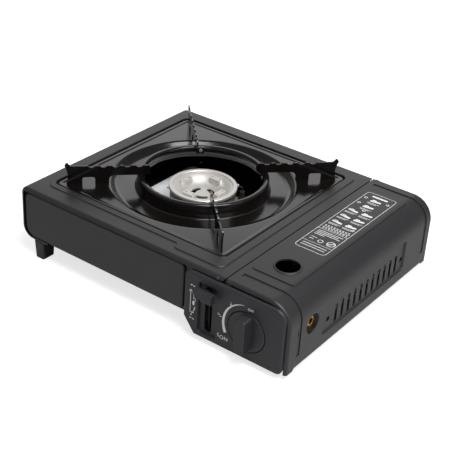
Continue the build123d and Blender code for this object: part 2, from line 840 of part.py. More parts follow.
with BuildPart() as burner_cap:
    with BuildSketch(burner_plane(0)):
        with BuildLine():
            rim_low = cap_top - cap_step
            Polyline(
                (dish_edge, rim_low),
                (dish_edge, cap_top - cap_break),
                (dish_edge + cap_break, cap_top),
                (cap_radius - cap_break, cap_top),
                (cap_radius, cap_top - cap_break),
                (cap_radius, cap_low),
                (port_inner, cap_low),
                (cap_hub_radius, hub_top - cap_sheet),
                (0, hub_top - cap_sheet),
                (0, hub_top),
                (cap_hub_radius - 2, hub_top),
            )
            Spline(
                (cap_hub_radius - 2, hub_top),
                (cap_hub_radius, hub_top + 0.4),
                (dish_edge - 3 * cap_break, rim_low - cap_break),
                (dish_edge, rim_low),
            )
        make_face()
    revolve(axis=burner_axis)
    # level bosses on the dish's slope, each with two small holes
    with BuildSketch(Plane.XY.offset(cap_top - boss_drop)):
        with Locations((tray_x, tray_y)):
            with PolarLocations(boss_radius, 4):
                RectangleRounded(boss_width, boss_length, boss_width / 3)
    extrude(amount=boss_drop - cap_depth)
    with BuildSketch(Plane.XY.offset(cap_low - cap_depth)):
        with Locations((tray_x, tray_y)):
            with PolarLocations(boss_radius, 4):
                with Locations((0, boss_hole_pitch / 2), (0, -boss_hole_pitch / 2)):
                    Circle(boss_hole_radius)
            # three kidney openings round the hub
            for turn in (60, 180, 300):
                with Locations(Location((0, 0, 0), (0, 0, turn))):
                    SlotArc(CenterArc((0, 0), kidney_radius, -kidney_sweep / 2, kidney_sweep), kidney_width)
    extrude(amount=2 * cap_depth, mode=Mode.SUBTRACT)
    # crimped tabs at the rim
    with BuildSketch(Plane.XY.offset(cap_low)):
        with Locations((tray_x, tray_y)):
            with PolarLocations(cap_radius + crimp_reach / 2 - 0.3, 4, start_angle=45):
                Rectangle(crimp_reach + 0.6, crimp_width)
    extrude(amount=crimp_height)
save(burner_cap, "burner_cap")

with BuildPart() as mixing_tube:
    with BuildSketch(burner_plane(burner_angle)):
        with BuildLine():
            Polyline(
                (0, tube_z + tube_radius - tube_wall),
                (tube_end - 12, tube_z + tube_radius - tube_wall),
                (tube_end, tube_z + tube_bell - tube_wall),
                (tube_end, tube_z + tube_bell),
                (tube_end - 12, tube_z + tube_radius),
                (0, tube_z + tube_radius),
                (0, tube_z + tube_radius - tube_wall),
            )
        make_face()
    revolve(axis=Axis((tray_x, tray_y, tube_z), tube_dir))
    with BuildSketch(Plane.XY.offset(bowl_low - 5)):
        with Locations((tray_x, tray_y)):
            Circle(bowl_radius)
    extrude(amount=2 * bowl_height, mode=Mode.SUBTRACT)
    # air windows in the tube's side
    window_centre = Vector(tray_x, tray_y, tube_z) + tube_dir * (tube_end - 26)
    with BuildSketch(Plane(origin=window_centre, x_dir=tube_dir, z_dir=(0, 0, 1))):
        SlotOverall(14, 6)
    extrude(amount=tube_bell, mode=Mode.SUBTRACT)
save(mixing_tube, "mixing_tube")

stand_width = 30.0
stand_depth = 24.0
stand_strip = 10.0

with BuildPart() as burner_stand:
    strip_top = strip_low + strip_sheet
    stand_low = reflector_top
    leg_right = tray_x + stand_width / 2
    with BuildSketch(front_plane(tray_y - stand_depth)):
        add(span(tray_x - stand_width, reflector_x[1], stand_low, stand_low + sheet))
        add(span(tray_x - stand_width, tray_x - stand_width + sheet, stand_low, strip_low))
        add(span(leg_right - sheet, leg_right, floor_top, strip_low))
        add(span(leg_right - sheet, tray_x + stand_width, floor_top, floor_top + sheet))
        add(span(tray_x - stand_width, tray_x + stand_width / 2, strip_low - sheet, strip_low))
    extrude(amount=-2 * stand_depth)
save(burner_stand, "burner_stand")

saddle_left = right - cartridge_x - cartridge_radius - 1.0
strip_start = tray_x - stand_width * 0.9

with BuildPart() as heat_plate:
    strip_front = tray_y - strip_width / 2
    with BuildSketch(front_plane(strip_front)):
        add(span(strip_start, saddle_left - 2, strip_low, strip_low + strip_sheet))
        add(span(saddle_left - 2 - strip_sheet, saddle_left - 2, strip_low - 14, strip_low + 16))
    extrude(amount=-strip_width)
save(heat_plate, "heat_plate")

ceramic_low = bowl_low - 1
ceramic_top = port_low + 1
electrode_place = Vector(tray_x, tray_y, 0) + ear_dir * electrode_reach
electrode_spot = (electrode_place.X, electrode_place.Y)
spark_place = Vector(tray_x, tray_y, cap_low + 1) + ear_dir * (cap_radius + 1.5)

with BuildPart() as electrode:
    with BuildSketch(Plane.XY.offset(ceramic_low)):
        with Locations(electrode_spot):
            Circle(ceramic_radius)
    extrude(amount=ceramic_top - ceramic_low)
    # collar that rests on the bowl's ear
    with BuildSketch(Plane.XY.offset(ear_low + 2)):
        with Locations(electrode_spot):
            Circle(ceramic_radius + 1.2)
    extrude(amount=2)
    # spark wire bent towards the flame ports
    with BuildLine() as wire:
        FilletPolyline(
            (*electrode_spot, ceramic_top - 1),
            (*electrode_spot, cap_low + 1),
            tuple(spark_place),
            radius=1.5,
        )
    with BuildSketch(Plane(origin=wire.line @ 0, z_dir=wire.line % 0)):
        Circle(0.75)
    sweep(path=wire.line)
save(electrode, "electrode")

# ------------------------------------------------------------------ cartridge lid

lid_front = front + lid_inset
lid_back = back - lid_inset
lid_length = lid_back - lid_front
lid_inner = right - sheet


def lid_section(inset, beyond):
    """Section of the lid seen from the front: flat top, large top right bend, upright side."""
    with BuildSketch() as section:
        add(span(lid_left - beyond, right - inset, lid_end_bottom - beyond, deck_height - inset))
        at_right = section.vertices().group_by(Axis.X)[-1].sort_by(Axis.Y)
        fillet(at_right[-1], lid_corner - inset)
    return section.sketch


def groove_band(outer_inset, inner_inset, side_end, start_x):
    """Band that follows the lid's skin from its top down its side."""
    with BuildSketch() as band:
        add(lid_section(outer_inset, 0))
        add(lid_section(inner_inset, sheet), mode=Mode.SUBTRACT)
        add(span(lid_left - sheet, start_x, 0, deck_height), mode=Mode.SUBTRACT)
        add(span(lid_left - sheet, right, 0, side_end), mode=Mode.SUBTRACT)
    return band.sketch


lid_skin = lid_section(0, 0)
lid_hollow = lid_section(sheet, sheet)
lid_mouth = lid_section(lid_lip, sheet)
lid_raised = lid_section(-top_panel_rise, 0)
lid_raised_hollow = lid_section(sheet - top_panel_rise, sheet)
top_panel_x = (lid_left + top_panel_left, right - top_panel_right)
top_panel_y = (front + top_panel_front, back - top_panel_back)
vent_y = (front + vent_front, back - vent_back)
sight_place = (right - sight_x, front + sight_y)

with BuildPart() as lid_void:
    with BuildSketch(front_plane(lid_front + sheet)):
        add(lid_hollow)
    extrude(amount=-(lid_length - 2 * sheet))
    ends = lid_void.faces().filter_by(Axis.Y)
    rims = ends.edges().filter_by(lambda e: e.center().Z > lid_side_bottom and e.center().X > lid_left)
    fillet(rims, lid_bend - sheet)

with BuildPart() as raised_panel:
    with BuildSketch(front_plane(top_panel_y[0])):
        add(lid_raised)
    extrude(amount=-(top_panel_y[1] - top_panel_y[0]))
    with BuildSketch(Plane.XY.offset(deck_height / 2)) as plan:
        add(span(*top_panel_x, *top_panel_y))
        fillet(plan.vertices(), top_panel_corner)
    extrude(amount=deck_height, mode=Mode.INTERSECT)

with BuildPart() as raised_void:
    with BuildSketch(front_plane(top_panel_y[0])):
        add(lid_raised_hollow)
    extrude(amount=-(top_panel_y[1] - top_panel_y[0]))
    with BuildSketch(Plane.XY.offset(deck_height / 2)) as plan:
        add(span(top_panel_x[0] + sheet, top_panel_x[1] - sheet, top_panel_y[0] + sheet, top_panel_y[1] - sheet))
        fillet(plan.vertices(), top_panel_corner - sheet)
    extrude(amount=deck_height, mode=Mode.INTERSECT)

with BuildPart() as cartridge_lid:
    with BuildSketch(front_plane(lid_front)):
        add(lid_skin)
    extrude(amount=-lid_length)
    ends = cartridge_lid.faces().filter_by(Axis.Y)
    rims = ends.edges().filter_by(lambda e: e.center().Z > lid_side_bottom and e.center().X > lid_left + sheet)
    fillet(rims, lid_bend)
    add(raised_panel.part)
    add(lid_void.part, mode=Mode.SUBTRACT)
    add(raised_void.part, mode=Mode.SUBTRACT)
    # open ends inside the lips
    with BuildSketch(front_plane(lid_front - sheet)):
        add(lid_mouth)
    extrude(amount=-(lid_bend + sheet), mode=Mode.SUBTRACT)
    with BuildSketch(front_plane(lid_back - lid_bend)):
        add(lid_mouth)
    extrude(amount=-(lid_bend + sheet), mode=Mode.SUBTRACT)
    # hinge ears
    for ear_y in (lid_front + sheet, lid_back):
        with BuildSketch(front_plane(ear_y)):
            with Locations((hinge_x, hinge_z)):
                Circle(hinge_ear_radius)
        extrude(amount=sheet)
    # side's lower edge, higher between its ends
    with BuildSketch(side_plane(lid_inner - sheet)):
        with BuildLine():
            rise = lid_side_bottom - lid_end_bottom
            Polyline(
                (front + lid_low_front - rise, lid_end_bottom - 1),
                (front + lid_low_front - rise, lid_end_bottom),
                (front + lid_low_front, lid_side_bottom),
                (back - lid_low_back, lid_side_bottom),
                (back - lid_low_back + rise, lid_end_bottom),
                (back - lid_low_back + rise, lid_end_bottom - 1),
                close=True,
            )
        make_face()
    extrude(amount=3 * sheet, mode=Mode.SUBTRACT)
    # pressed grooves that run over the top and down the side
    groove_x = lid_left + groove_start
    for groove_y, side_end in ((front + groove_front, groove_front_end), (back - groove_back, groove_back_end)):
        with BuildSketch(front_plane(groove_y - groove_width / 2 - sheet)):
            add(groove_band(groove_depth, groove_depth + sheet, side_end - sheet, groove_x - sheet))
        extrude(amount=-(groove_width + 2 * sheet))
        with BuildSketch(front_plane(groove_y - groove_width / 2)):
            add(groove_band(-1, groove_depth, side_end, groove_x))
        extrude(amount=-groove_width, mode=Mode.SUBTRACT)
    # sight hole with its raised lip
    with BuildSketch(Plane.XY.offset(deck_height)):
        with Locations(sight_place):
            Circle(sight_radius + sight_lip)
    extrude(amount=top_panel_rise + 0.9, taper=40)
    with BuildSketch(Plane.XY.offset(deck_height - 2 * sheet)):
        with Locations(sight_place):
            Circle(sight_radius)
    extrude(amount=6 * sheet, mode=Mode.SUBTRACT)
    # vent panel, sunk into the side
    with BuildSketch(side_plane(lid_inner - vent_depth)) as plan:
        add(span(vent_y[0] - sheet, vent_y[1] + sheet, vent_bottom - sheet, vent_top + sheet))
        fillet(plan.vertices(), 4)
    extrude(amount=vent_depth)
    with BuildSketch(side_plane(right)) as plan:
        add(span(*vent_y, vent_bottom, vent_top))
        fillet(plan.vertices(), 4)
    extrude(amount=-vent_depth, taper=35, mode=Mode.SUBTRACT)
    with BuildSketch(side_plane(right - 2 * vent_depth - sheet)):
        for step in range(slot_count):
            with Locations((front + slot_first + step * slot_pitch, (slot_bottom + slot_top) / 2)):
                SlotOverall(slot_top - slot_bottom, slot_width, rotation=90)
        slots_end = front + slot_first + (slot_count - 1) * slot_pitch
        hole_before = (front + slot_first - vent_hole_before, vent_hole_height)
        hole_after = (slots_end + vent_hole_after, vent_hole_height)
        with Locations(hole_before, hole_after):
            Circle(vent_hole_radius)
        with Locations((front + window_y, window_z)):
            Circle(window_radius)
        with Locations((front + groove_front - 1.5, window_z)):
            SlotOverall(8, 2.5, rotation=90)
    extrude(amount=3 * vent_depth + sheet, mode=Mode.SUBTRACT)
    # bores of the hinge
    with BuildSketch(front_plane(front - sheet)):
        with Locations((hinge_x, hinge_z)):
            Circle(hinge_pin_radius + running_clearance)
    extrude(amount=-(case_depth + 2 * sheet), mode=Mode.SUBTRACT)
save(cartridge_lid, "cartridge_lid")

pin_inside = panel_set + 3 * sheet

with BuildPart() as hinge_pins:
    for pin_start, pin_end in ((front + 0.2, front + pin_inside), (back - pin_inside, back - 0.2)):
        with BuildSketch(front_plane(pin_start)):
            with Locations((hinge_x, hinge_z)):
                Circle(hinge_pin_radius)
        extrude(amount=-(pin_end - pin_start))
save(hinge_pins, "hinge_pins")

# ------------------------------------------------------------------ control panel and knob

panel_face = front - control_front
panel_back = front + panel_set
rim_back = front + panel_clearance
control_x = (right - control_right - control_width, right - control_right)
channel_x = (slot_x - channel_width / 2, slot_x + channel_width / 2)
slot_end_z = (14.0, 66.0)


def control_outline(inset):
    """Control panel seen from the front: rounded top corners, cut lower left corner."""
    low_x, high_x = control_x[0] + inset, control_x[1] - inset
    low_z, high_z = control_bottom + inset, control_top - inset
    with BuildSketch() as outline:
        add(span(low_x, high_x, low_z, high_z))
        round_corner(outline, low_x, high_z, control_left_radius - inset)
        round_corner(outline, high_x, high_z, control_right_radius - inset)
        round_corner(outline, high_x, low_z, control_low_radius - inset)
        # cut lower left corner
        with BuildLine():
            Polyline(
                (low_x, low_z),
                (low_x + control_cut_width, low_z),
                (low_x, low_z + control_cut_height),
                close=True,
            )
        make_face(mode=Mode.SUBTRACT)
    return outline.sketch


post_radius = 3.5
post_inset = 12.0
post_places = (
    (control_x[0] + 9, control_top - post_inset),
    (channel_x[1] + control_wall + post_radius, control_bottom + post_inset),
    (control_x[1] - post_inset, control_bottom + post_inset),
    (control_x[1] - 2 * post_inset, control_top - post_inset),
)
control_skin = control_outline(0)
control_hollow = control_outline(control_wall)

with BuildPart() as control_panel:
    with BuildSketch(front_plane(rim_back)):
        add(control_skin)
    extrude(amount=rim_back - panel_face)
    fillet(control_panel.faces().sort_by(Axis.Y)[0].edges(), control_edge)
    with BuildSketch(front_plane(rim_back)):
        add(control_hollow)
    extrude(amount=rim_back - panel_face - control_wall, mode=Mode.SUBTRACT)
    # channel that the lever's thumb piece runs in
    with BuildSketch(front_plane(panel_face + channel_depth + control_wall)) as behind:
        add(span(channel_x[0] - control_wall, channel_x[1] + control_wall,
                 channel_bottom - control_wall, channel_top + control_wall))
        fillet(behind.vertices(), 3)
    extrude(amount=channel_depth)
    with BuildSketch(front_plane(panel_face)) as channel:
        add(span(*channel_x, channel_bottom, channel_top))
        fillet(channel.vertices(), 2.5)
    extrude(amount=-channel_depth, taper=20, mode=Mode.SUBTRACT)
    with BuildSketch(front_plane(panel_face - sheet)):
        with Locations((slot_x, (slot_end_z[0] + slot_end_z[1]) / 2)):
            SlotOverall(slot_end_z[1] - slot_end_z[0], lever_slot_width, rotation=90)
    extrude(amount=-(panel_back - panel_face + 2 * sheet), mode=Mode.SUBTRACT)
    # opening for the knob, with a collar behind it
    collar_inner = knob_radius + knob_gap
    with BuildSketch(front_plane(panel_back)):
        with Locations((knob_axis_x, knob_z)):
            Circle(collar_inner + control_wall)
        # posts that stand on the front panel
        with Locations(*post_places):
            Circle(post_radius)
    extrude(amount=panel_back - panel_face - control_wall)
    with BuildSketch(front_plane(panel_face - sheet)):
        with Locations((knob_axis_x, knob_z)):
            Circle(collar_inner)
    extrude(amount=-(panel_back - panel_face + 2 * sheet), mode=Mode.SUBTRACT)
save(control_panel, "control_panel")

knob_back = front + 2.0
disc_face = panel_face - knob_disc
grip_face = front - control_reach
valve_face = front + valve_front

with BuildPart() as control_knob:
    with BuildSketch(front_plane(knob_back)):
        with Locations((knob_axis_x, knob_z)):
            Circle(knob_radius)
    extrude(amount=knob_back - disc_face)
    fillet(control_knob.faces().sort_by(Axis.Y)[0].edges(), knob_disc)
    with BuildSketch(front_plane(disc_face)):
        with Locations((knob_axis_x, knob_z)):
            RectangleRounded(grip_width, grip_length, grip_corner)
    extrude(amount=disc_face - grip_face, taper=4)
    fillet(control_knob.faces().sort_by(Axis.Y)[0].edges(), 1.6)
    # hollow back with a hub for the spindle
    with BuildSketch(front_plane(knob_back)):
        with Locations((knob_axis_x, knob_z)):
            Circle(knob_radius - control_wall)
            Circle(spindle_radius + 3, mode=Mode.SUBTRACT)
    extrude(amount=knob_back - disc_face - control_wall, mode=Mode.SUBTRACT)
    with BuildSketch(front_plane(knob_back)):
        with Locations((knob_axis_x, knob_z)):
            Circle(spindle_radius)
    extrude(amount=knob_back - disc_face - control_wall, mode=Mode.SUBTRACT)
save(control_knob, "control_knob")

spindle_end = valve_face + 12.0

with BuildPart() as knob_spindle:
    with BuildSketch(front_plane(disc_face + control_wall)):
        with Locations((knob_axis_x, knob_z)):
            Circle(spindle_radius)
    extrude(amount=-(spindle_end - disc_face - control_wall))
save(knob_spindle, "knob_spindle")

# ------------------------------------------------------------------ cartridge lock

pivot = (front + pivot_y, pivot_z)
tilt = math.radians(lever_tilt)
thumb_y = front - control_reach + 2.0 + thumb_depth / 2
arm_reach = (pivot[0] - thumb_y) / math.cos(tilt)
thumb_z = pivot_z + arm_reach * math.sin(tilt)
crank_pin = (pivot[0] + crank_radius * math.sin(tilt), pivot_z + crank_radius * math.cos(tilt))
lock_travel = 2 * crank_radius * math.sin(tilt)
lever_x = divider_right + lever_from_divider

with BuildPart() as lock_lever:
    with BuildSketch(side_plane(lever_x)) as plate:
        with Locations(pivot):
            Circle(lever_hub)
        arm_middle = (pivot[0] - arm_reach / 2 * math.cos(tilt), pivot_z + arm_reach / 2 * math.sin(tilt))
        with Locations(Location((*arm_middle, 0), (0, 0, -lever_tilt))):
            Rectangle(arm_reach, lever_arm)
        crank_middle = ((pivot[0] + crank_pin[0]) / 2, (pivot[1] + crank_pin[1]) / 2)
        with Locations(Location((*crank_middle, 0), (0, 0, 90 - lever_tilt))):
            SlotOverall(crank_radius + 7, 6)
        with Locations(pivot):
            Circle(pivot_radius + running_clearance, mode=Mode.SUBTRACT)
    extrude(amount=lever_plate)
    # drive pin of the short arm
    with BuildSketch(side_plane(lever_x + lever_plate)):
        with Locations(crank_pin):
            Circle(crank_pin_radius)
    extrude(amount=3.5)
save(lock_lever, "lock_lever")

thumb_x = (lever_x + lever_plate / 2 - thumb_width / 2, lever_x + lever_plate / 2 + thumb_width / 2)
thumb_low = thumb_z - thumb_drop - thumb_height / 2

with BuildPart() as lever_knob:
    with BuildSketch(side_plane(thumb_x[0])) as block:
        add(span(thumb_y - thumb_depth / 2, thumb_y + thumb_depth / 2, thumb_low, thumb_low + thumb_height))
        fillet(block.vertices().sort_by(Axis.X)[:2], 2.2)
        fillet(block.vertices().sort_by(Axis.X)[-2:], 1.0)
    extrude(amount=thumb_width)
    # flat left part, proud right part
    with BuildSketch(side_plane(thumb_x[0] - sheet)):
        add(span(thumb_y - thumb_depth, thumb_y + thumb_depth / 2 - thumb_flat, thumb_low - 1, thumb_low + thumb_height + 1))
    extrude(amount=thumb_width / 2, mode=Mode.SUBTRACT)
    add(lock_lever.part, mode=Mode.SUBTRACT)
save(lever_knob, "lever_knob")

with BuildPart() as lever_pivot:
    with BuildSketch(side_plane(divider)):
        with Locations(pivot):
            Circle(pivot_radius)
    extrude(amount=lever_x + lever_plate + 0.6 - divider)
    with BuildSketch(side_plane(divider_right)):
        with Locations(pivot):
            Circle(2 * pivot_radius)
    extrude(amount=lever_from_divider - slide_clearance)
save(lever_pivot, "lever_pivot")

cartridge_axis_x = right - cartridge_x
carriage_front = front + carriage_y
carriage_low = bay_floor + slide_clearance
carriage_left = divider_right + divider_flange + 1.0
carriage_right = bay_right - 2 * sheet
side_arm_x = lever_x + lever_plate + 0.7
side_arm_sheet = 1.5

with BuildPart() as cartridge_carriage:
    with BuildSketch(front_plane(carriage_front)) as plate:
        add(span(carriage_left, carriage_right, carriage_low, carriage_low + carriage_height))
        carriage_top = carriage_low + carriage_height
        round_corner(plate, carriage_left, carriage_top, carriage_corner)
        with BuildLine():
            Polyline(
                (carriage_right - carriage_shoulder * 0.6, carriage_top),
                (carriage_right, carriage_top),
                (carriage_right, carriage_top - carriage_shoulder),
                close=True,
            )
        make_face(mode=Mode.SUBTRACT)
        with Locations((cartridge_axis_x, cartridge_z)):
            Circle(collar_radius, mode=Mode.SUBTRACT)
        add(span(cartridge_axis_x - collar_radius, cartridge_axis_x + collar_radius,
                 cartridge_z, deck_height), mode=Mode.SUBTRACT)
    extrude(amount=-carriage_sheet)
    # runner on the floor
    with BuildSketch(Plane.XY.offset(carriage_low)):
        add(span(carriage_left, carriage_right, carriage_front, carriage_front + 14))
    extrude(amount=sheet * 1.5)
    # side arm with the slot for the lever's pin
    arm_z = (crank_pin[1] - 5.5, crank_pin[1] + 5.5)
    with BuildSketch(side_plane(side_arm_x)):
        add(span(crank_pin[0] - 5.5, carriage_front + carriage_sheet, *arm_z))
        with Locations(crank_pin):
            SlotOverall(2 * crank_pin_radius + 3, 2 * (crank_pin_radius + slide_clearance), rotation=90,
                        mode=Mode.SUBTRACT)
    extrude(amount=side_arm_sheet)
    with BuildSketch(front_plane(carriage_front)):
        add(span(side_arm_x, carriage_left + 1, *arm_z))
    extrude(amount=-carriage_sheet)
save(cartridge_carriage, "cartridge_carriage")

# ------------------------------------------------------------------ valve, pipe and cartridge seat

valve_x = (cartridge_axis_x - valve_width * 0.6, cartridge_axis_x + valve_width * 0.4)
valve_z = (cartridge_z - valve_height * 0.55, cartridge_z + valve_height * 0.45)
valve_back = valve_face + valve_depth

with BuildPart() as valve_body:
    with BuildSketch(front_plane(valve_face)) as block:
        add(span(*valve_x, *valve_z))
        fillet(block.vertices(), 6)
    extrude(amount=-valve_depth)
    chamfer(valve_body.faces().sort_by(Axis.Y)[0].edges(), 1.5)
    with BuildSketch(front_plane(valve_face - sheet)):
        with Locations((knob_axis_x, knob_z)):
            Circle(spindle_radius + running_clearance)
    extrude(amount=-(spindle_end - valve_face + sheet + 0.5), mode=Mode.SUBTRACT)
save(valve_body, "valve_body")

with BuildPart() as cartridge_seat:
    with BuildSketch(front_plane(valve_back)):
        with Locations((cartridge_axis_x, cartridge_z)):
            Circle(seat_radius)
    extrude(amount=-seat_depth)
    fillet(cartridge_seat.faces().sort_by(Axis.Y)[-1].edges(), 1.0)
    with BuildSketch(front_plane(valve_back)):
        with Locations((cartridge_axis_x, cartridge_z)):
            Circle(3.0)
    extrude(amount=-seat_depth, mode=Mode.SUBTRACT)
save(cartridge_seat, "cartridge_seat")

with BuildPart() as seat_seal:
    with BuildSketch(front_plane(valve_back + seat_depth)):
        with Locations((cartridge_axis_x, cartridge_z)):
            Circle(seal_radius)
            Circle(3.5, mode=Mode.SUBTRACT)
    extrude(amount=-seal_depth)
save(seat_seal, "seat_seal")

inlet_face = right - inlet_end

with BuildPart() as hose_inlet:
    with BuildSketch(side_plane(valve_x[1])):
        with Locations((front + inlet_y, inlet_z)):
            Circle(inlet_radius)
    extrude(amount=inlet_face - valve_x[1])
    chamfer(hose_inlet.faces().sort_by(Axis.X)[-1].edges(), 0.8)
    with BuildSketch(side_plane(valve_x[1])):
        with Locations((front + inlet_y, inlet_z)):
            RegularPolygon(inlet_radius + 2.2, 6)
    extrude(amount=8)
    with BuildSketch(side_plane(inlet_face)):
        with Locations((front + inlet_y, inlet_z)):
            Circle(inlet_bore)
    extrude(amount=-inlet_bore_depth, mode=Mode.SUBTRACT)
save(hose_inlet, "hose_inlet")

with BuildPart() as valve_bracket:
    bracket_x = (valve_x[0] + 5, valve_x[1] - 5)
    bracket_sheet = 1.5
    with BuildSketch(front_plane(valve_face + 3)):
        add(span(*bracket_x, valve_z[0] - bracket_sheet, valve_z[0]))
        add(span(bracket_x[0], bracket_x[0] + bracket_sheet, bay_floor, valve_z[0]))
        add(span(bracket_x[1] - bracket_sheet, bracket_x[1], bay_floor, valve_z[0]))
    extrude(amount=-(valve_depth - 6))
save(valve_bracket, "valve_bracket")


with BuildPart() as jet_holder:
    with BuildSketch(Plane.XY.offset(floor_top)):
        with Locations((jet_place.X, jet_place.Y)):
            Rectangle(jet_block, jet_block, rotation=burner_angle)
    extrude(amount=tube_z + 8 - floor_top)
save(jet_holder, "jet_holder")

with BuildPart() as gas_jet:
    jet_start = Vector(tray_x, tray_y, tube_z) + jet_dir * (jet_reach - jet_block / 2)
    with BuildSketch(Plane(origin=jet_start, x_dir=(0, 0, 1), z_dir=-jet_dir)):
        Circle(3.5)
    extrude(amount=jet_reach - jet_block / 2 - tube_end + 3, taper=6)
save(gas_jet, "gas_jet")

pipe_start = (valve_x[0], front + pipe_y, pipe_z)
pipe_corner = 7.0

with BuildPart() as gas_pipe:
    with BuildLine() as route:
        FilletPolyline(
            pipe_start,
            (jet_place.X, front + pipe_y, pipe_z),
            (jet_place.X, jet_place.Y, pipe_z),
            radius=pipe_corner,
        )
    with BuildSketch(Plane(origin=route.line @ 0, z_dir=route.line % 0)):
        Circle(pipe_radius)
    sweep(path=route.line)
    add(jet_holder.part, mode=Mode.SUBTRACT)
save(gas_pipe, "gas_pipe")

# ------------------------------------------------------------------ cradle, igniter, lead and screws

cradle_sheet = 1.2
cradle_radius = cartridge_radius + 0.4
cradle_front = front + carriage_y + 20.0
cradle_length = 150.0

with BuildPart() as cartridge_cradle:
    with BuildSketch(front_plane(cradle_front)):
        with Locations((cartridge_axis_x, cartridge_z)):
            Circle(cradle_radius + cradle_sheet)
            Circle(cradle_radius, mode=Mode.SUBTRACT)
        cut_z = cartridge_z - cradle_radius * 0.55
        add(span(left, right, cut_z, deck_height), mode=Mode.SUBTRACT)
        for foot_side in (-1, 1):
            foot_middle = cartridge_axis_x + foot_side * 18
            foot_top = cartridge_z - math.sqrt((cradle_radius + 0.5 * cradle_sheet) ** 2 - 18 ** 2)
            add(span(foot_middle - sheet, foot_middle + sheet, bay_floor, foot_top))
    extrude(amount=-cradle_length)
save(cartridge_cradle, "cartridge_cradle")

igniter_x = (cartridge_axis_x - 16.0, cartridge_axis_x + 12.0)
igniter_y = lead_y
igniter_z = lead_z

with BuildPart() as piezo_igniter:
    with BuildSketch(side_plane(igniter_x[0])):
        with Locations((igniter_y, igniter_z)):
            Circle(igniter_radius)
        add(span(igniter_y - 3, igniter_y + 3, valve_z[1], igniter_z))
    extrude(amount=igniter_x[1] - igniter_x[0])
save(piezo_igniter, "piezo_igniter")

with BuildPart() as ignition_lead:
    with BuildLine() as route:
        FilletPolyline(
            (igniter_x[0], igniter_y, igniter_z),
            (divider - 8, igniter_y, igniter_z),
            (divider - 9, igniter_y + 50, igniter_z - 4),
            (divider - 30, tray_y - 10, bowl_low + 12),
            (electrode_place.X + 16, electrode_place.Y + 3, bowl_low + 4),
            (electrode_place.X, electrode_place.Y, bowl_low - 8),
            (electrode_place.X, electrode_place.Y, ceramic_low),
            radius=(5, 12, 12, 6, 3),
        )
    with BuildSketch(Plane(origin=route.line @ 0, z_dir=route.line % 0)):
        Circle(lead_radius)
    sweep(path=route.line)
save(ignition_lead, "ignition_lead")

dome_radius = 1.8
dome_stand = 0.9
dome_place = (seam - 8.0, deck_height - lip + 1.2)

with BuildPart() as flange_rivet:
    with BuildSketch(front_plane(front + sheet)):
        with Locations(dome_place):
            Circle(dome_radius)
    extrude(amount=sheet + dome_stand)
    fillet(flange_rivet.faces().sort_by(Axis.Y)[0].edges(), dome_stand * 0.9)
    add(body_shell.part, mode=Mode.SUBTRACT)
save(flange_rivet, "flange_rivet")

screw_radius = 3.0
screw_head = 1.8
screw_places = [(x, z) for x in (left + 14, tray_x, seam - 30, right - 24) for z in (leg_height + 8,)]
screw_places += [(left + 14, deck_height - 12), (seam - 30, deck_height - 12), (right - 24, deck_height - 22)]

with BuildPart() as panel_screws:
    with BuildSketch(front_plane(back - panel_set)):
        with Locations(*screw_places):
            Circle(screw_radius)
    extrude(amount=-screw_head, taper=15)
    with BuildSketch(front_plane(back)):
        with Locations(*screw_places):
            Rectangle(0.8, 3.6)
            Rectangle(3.6, 0.8)
    extrude(amount=panel_set - screw_head * 0.5, mode=Mode.SUBTRACT)
save(panel_screws, "panel_screws")
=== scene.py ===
# %% [markdown]
# # A butane cassette stove
#
# The stove is a flat painted steel case with an enamelled drip tray, a ring burner, four wavy
# pot supports, and a hinged lid over the gas cartridge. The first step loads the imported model.
# Every object comes in metres, in one frame: +X is the stove's right, -Y its front, +Z up.

# %% Load the frame
import bmesh
import bpy
import json
import math
import numpy as np
from mathutils import Matrix, Vector


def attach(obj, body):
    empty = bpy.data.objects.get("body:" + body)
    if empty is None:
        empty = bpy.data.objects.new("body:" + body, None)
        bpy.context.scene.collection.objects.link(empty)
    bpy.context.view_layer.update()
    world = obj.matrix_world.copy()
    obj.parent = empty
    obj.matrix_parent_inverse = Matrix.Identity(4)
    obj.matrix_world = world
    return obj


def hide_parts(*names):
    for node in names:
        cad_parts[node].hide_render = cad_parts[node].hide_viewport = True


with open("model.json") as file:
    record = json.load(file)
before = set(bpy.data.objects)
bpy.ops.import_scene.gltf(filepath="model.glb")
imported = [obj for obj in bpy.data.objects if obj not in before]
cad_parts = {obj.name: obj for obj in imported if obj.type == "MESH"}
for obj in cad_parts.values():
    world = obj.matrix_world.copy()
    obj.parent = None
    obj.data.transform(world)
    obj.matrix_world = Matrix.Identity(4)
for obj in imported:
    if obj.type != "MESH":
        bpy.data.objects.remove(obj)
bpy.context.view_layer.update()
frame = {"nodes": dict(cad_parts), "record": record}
nodes = frame["nodes"]
bodies = frame["record"]["behaviour"]["bodies"]
body_of_node = {name: body for body, names in bodies.items() for name in names}
slot_of_node = {row["node"]: row["material_slot"] for row in frame["record"]["subparts"]}
mm = 0.001

# %% [markdown]
# The camera stands to the right of the front and looks down on the stove. A camera is placed
# most plainly by its own three axes: where it looks from, which way is back, and how far it rolls.

# %% Camera
camera_place = Vector((584.1, -823.4, 633.0)) * mm
camera_azimuth = math.radians(35.25)
camera_elevation = math.radians(30.19)
camera_roll = math.radians(3.57)
camera_lens = 86.98
sensor_width = 36.0

back = Vector((
    math.sin(camera_azimuth) * math.cos(camera_elevation),
    -math.cos(camera_azimuth) * math.cos(camera_elevation),
    math.sin(camera_elevation),
))
level_right = Vector((0, 0, 1)).cross(back).normalized()
level_up = back.cross(level_right)
camera_right = level_right * math.cos(camera_roll) + level_up * math.sin(camera_roll)
camera_up = level_up * math.cos(camera_roll) - level_right * math.sin(camera_roll)

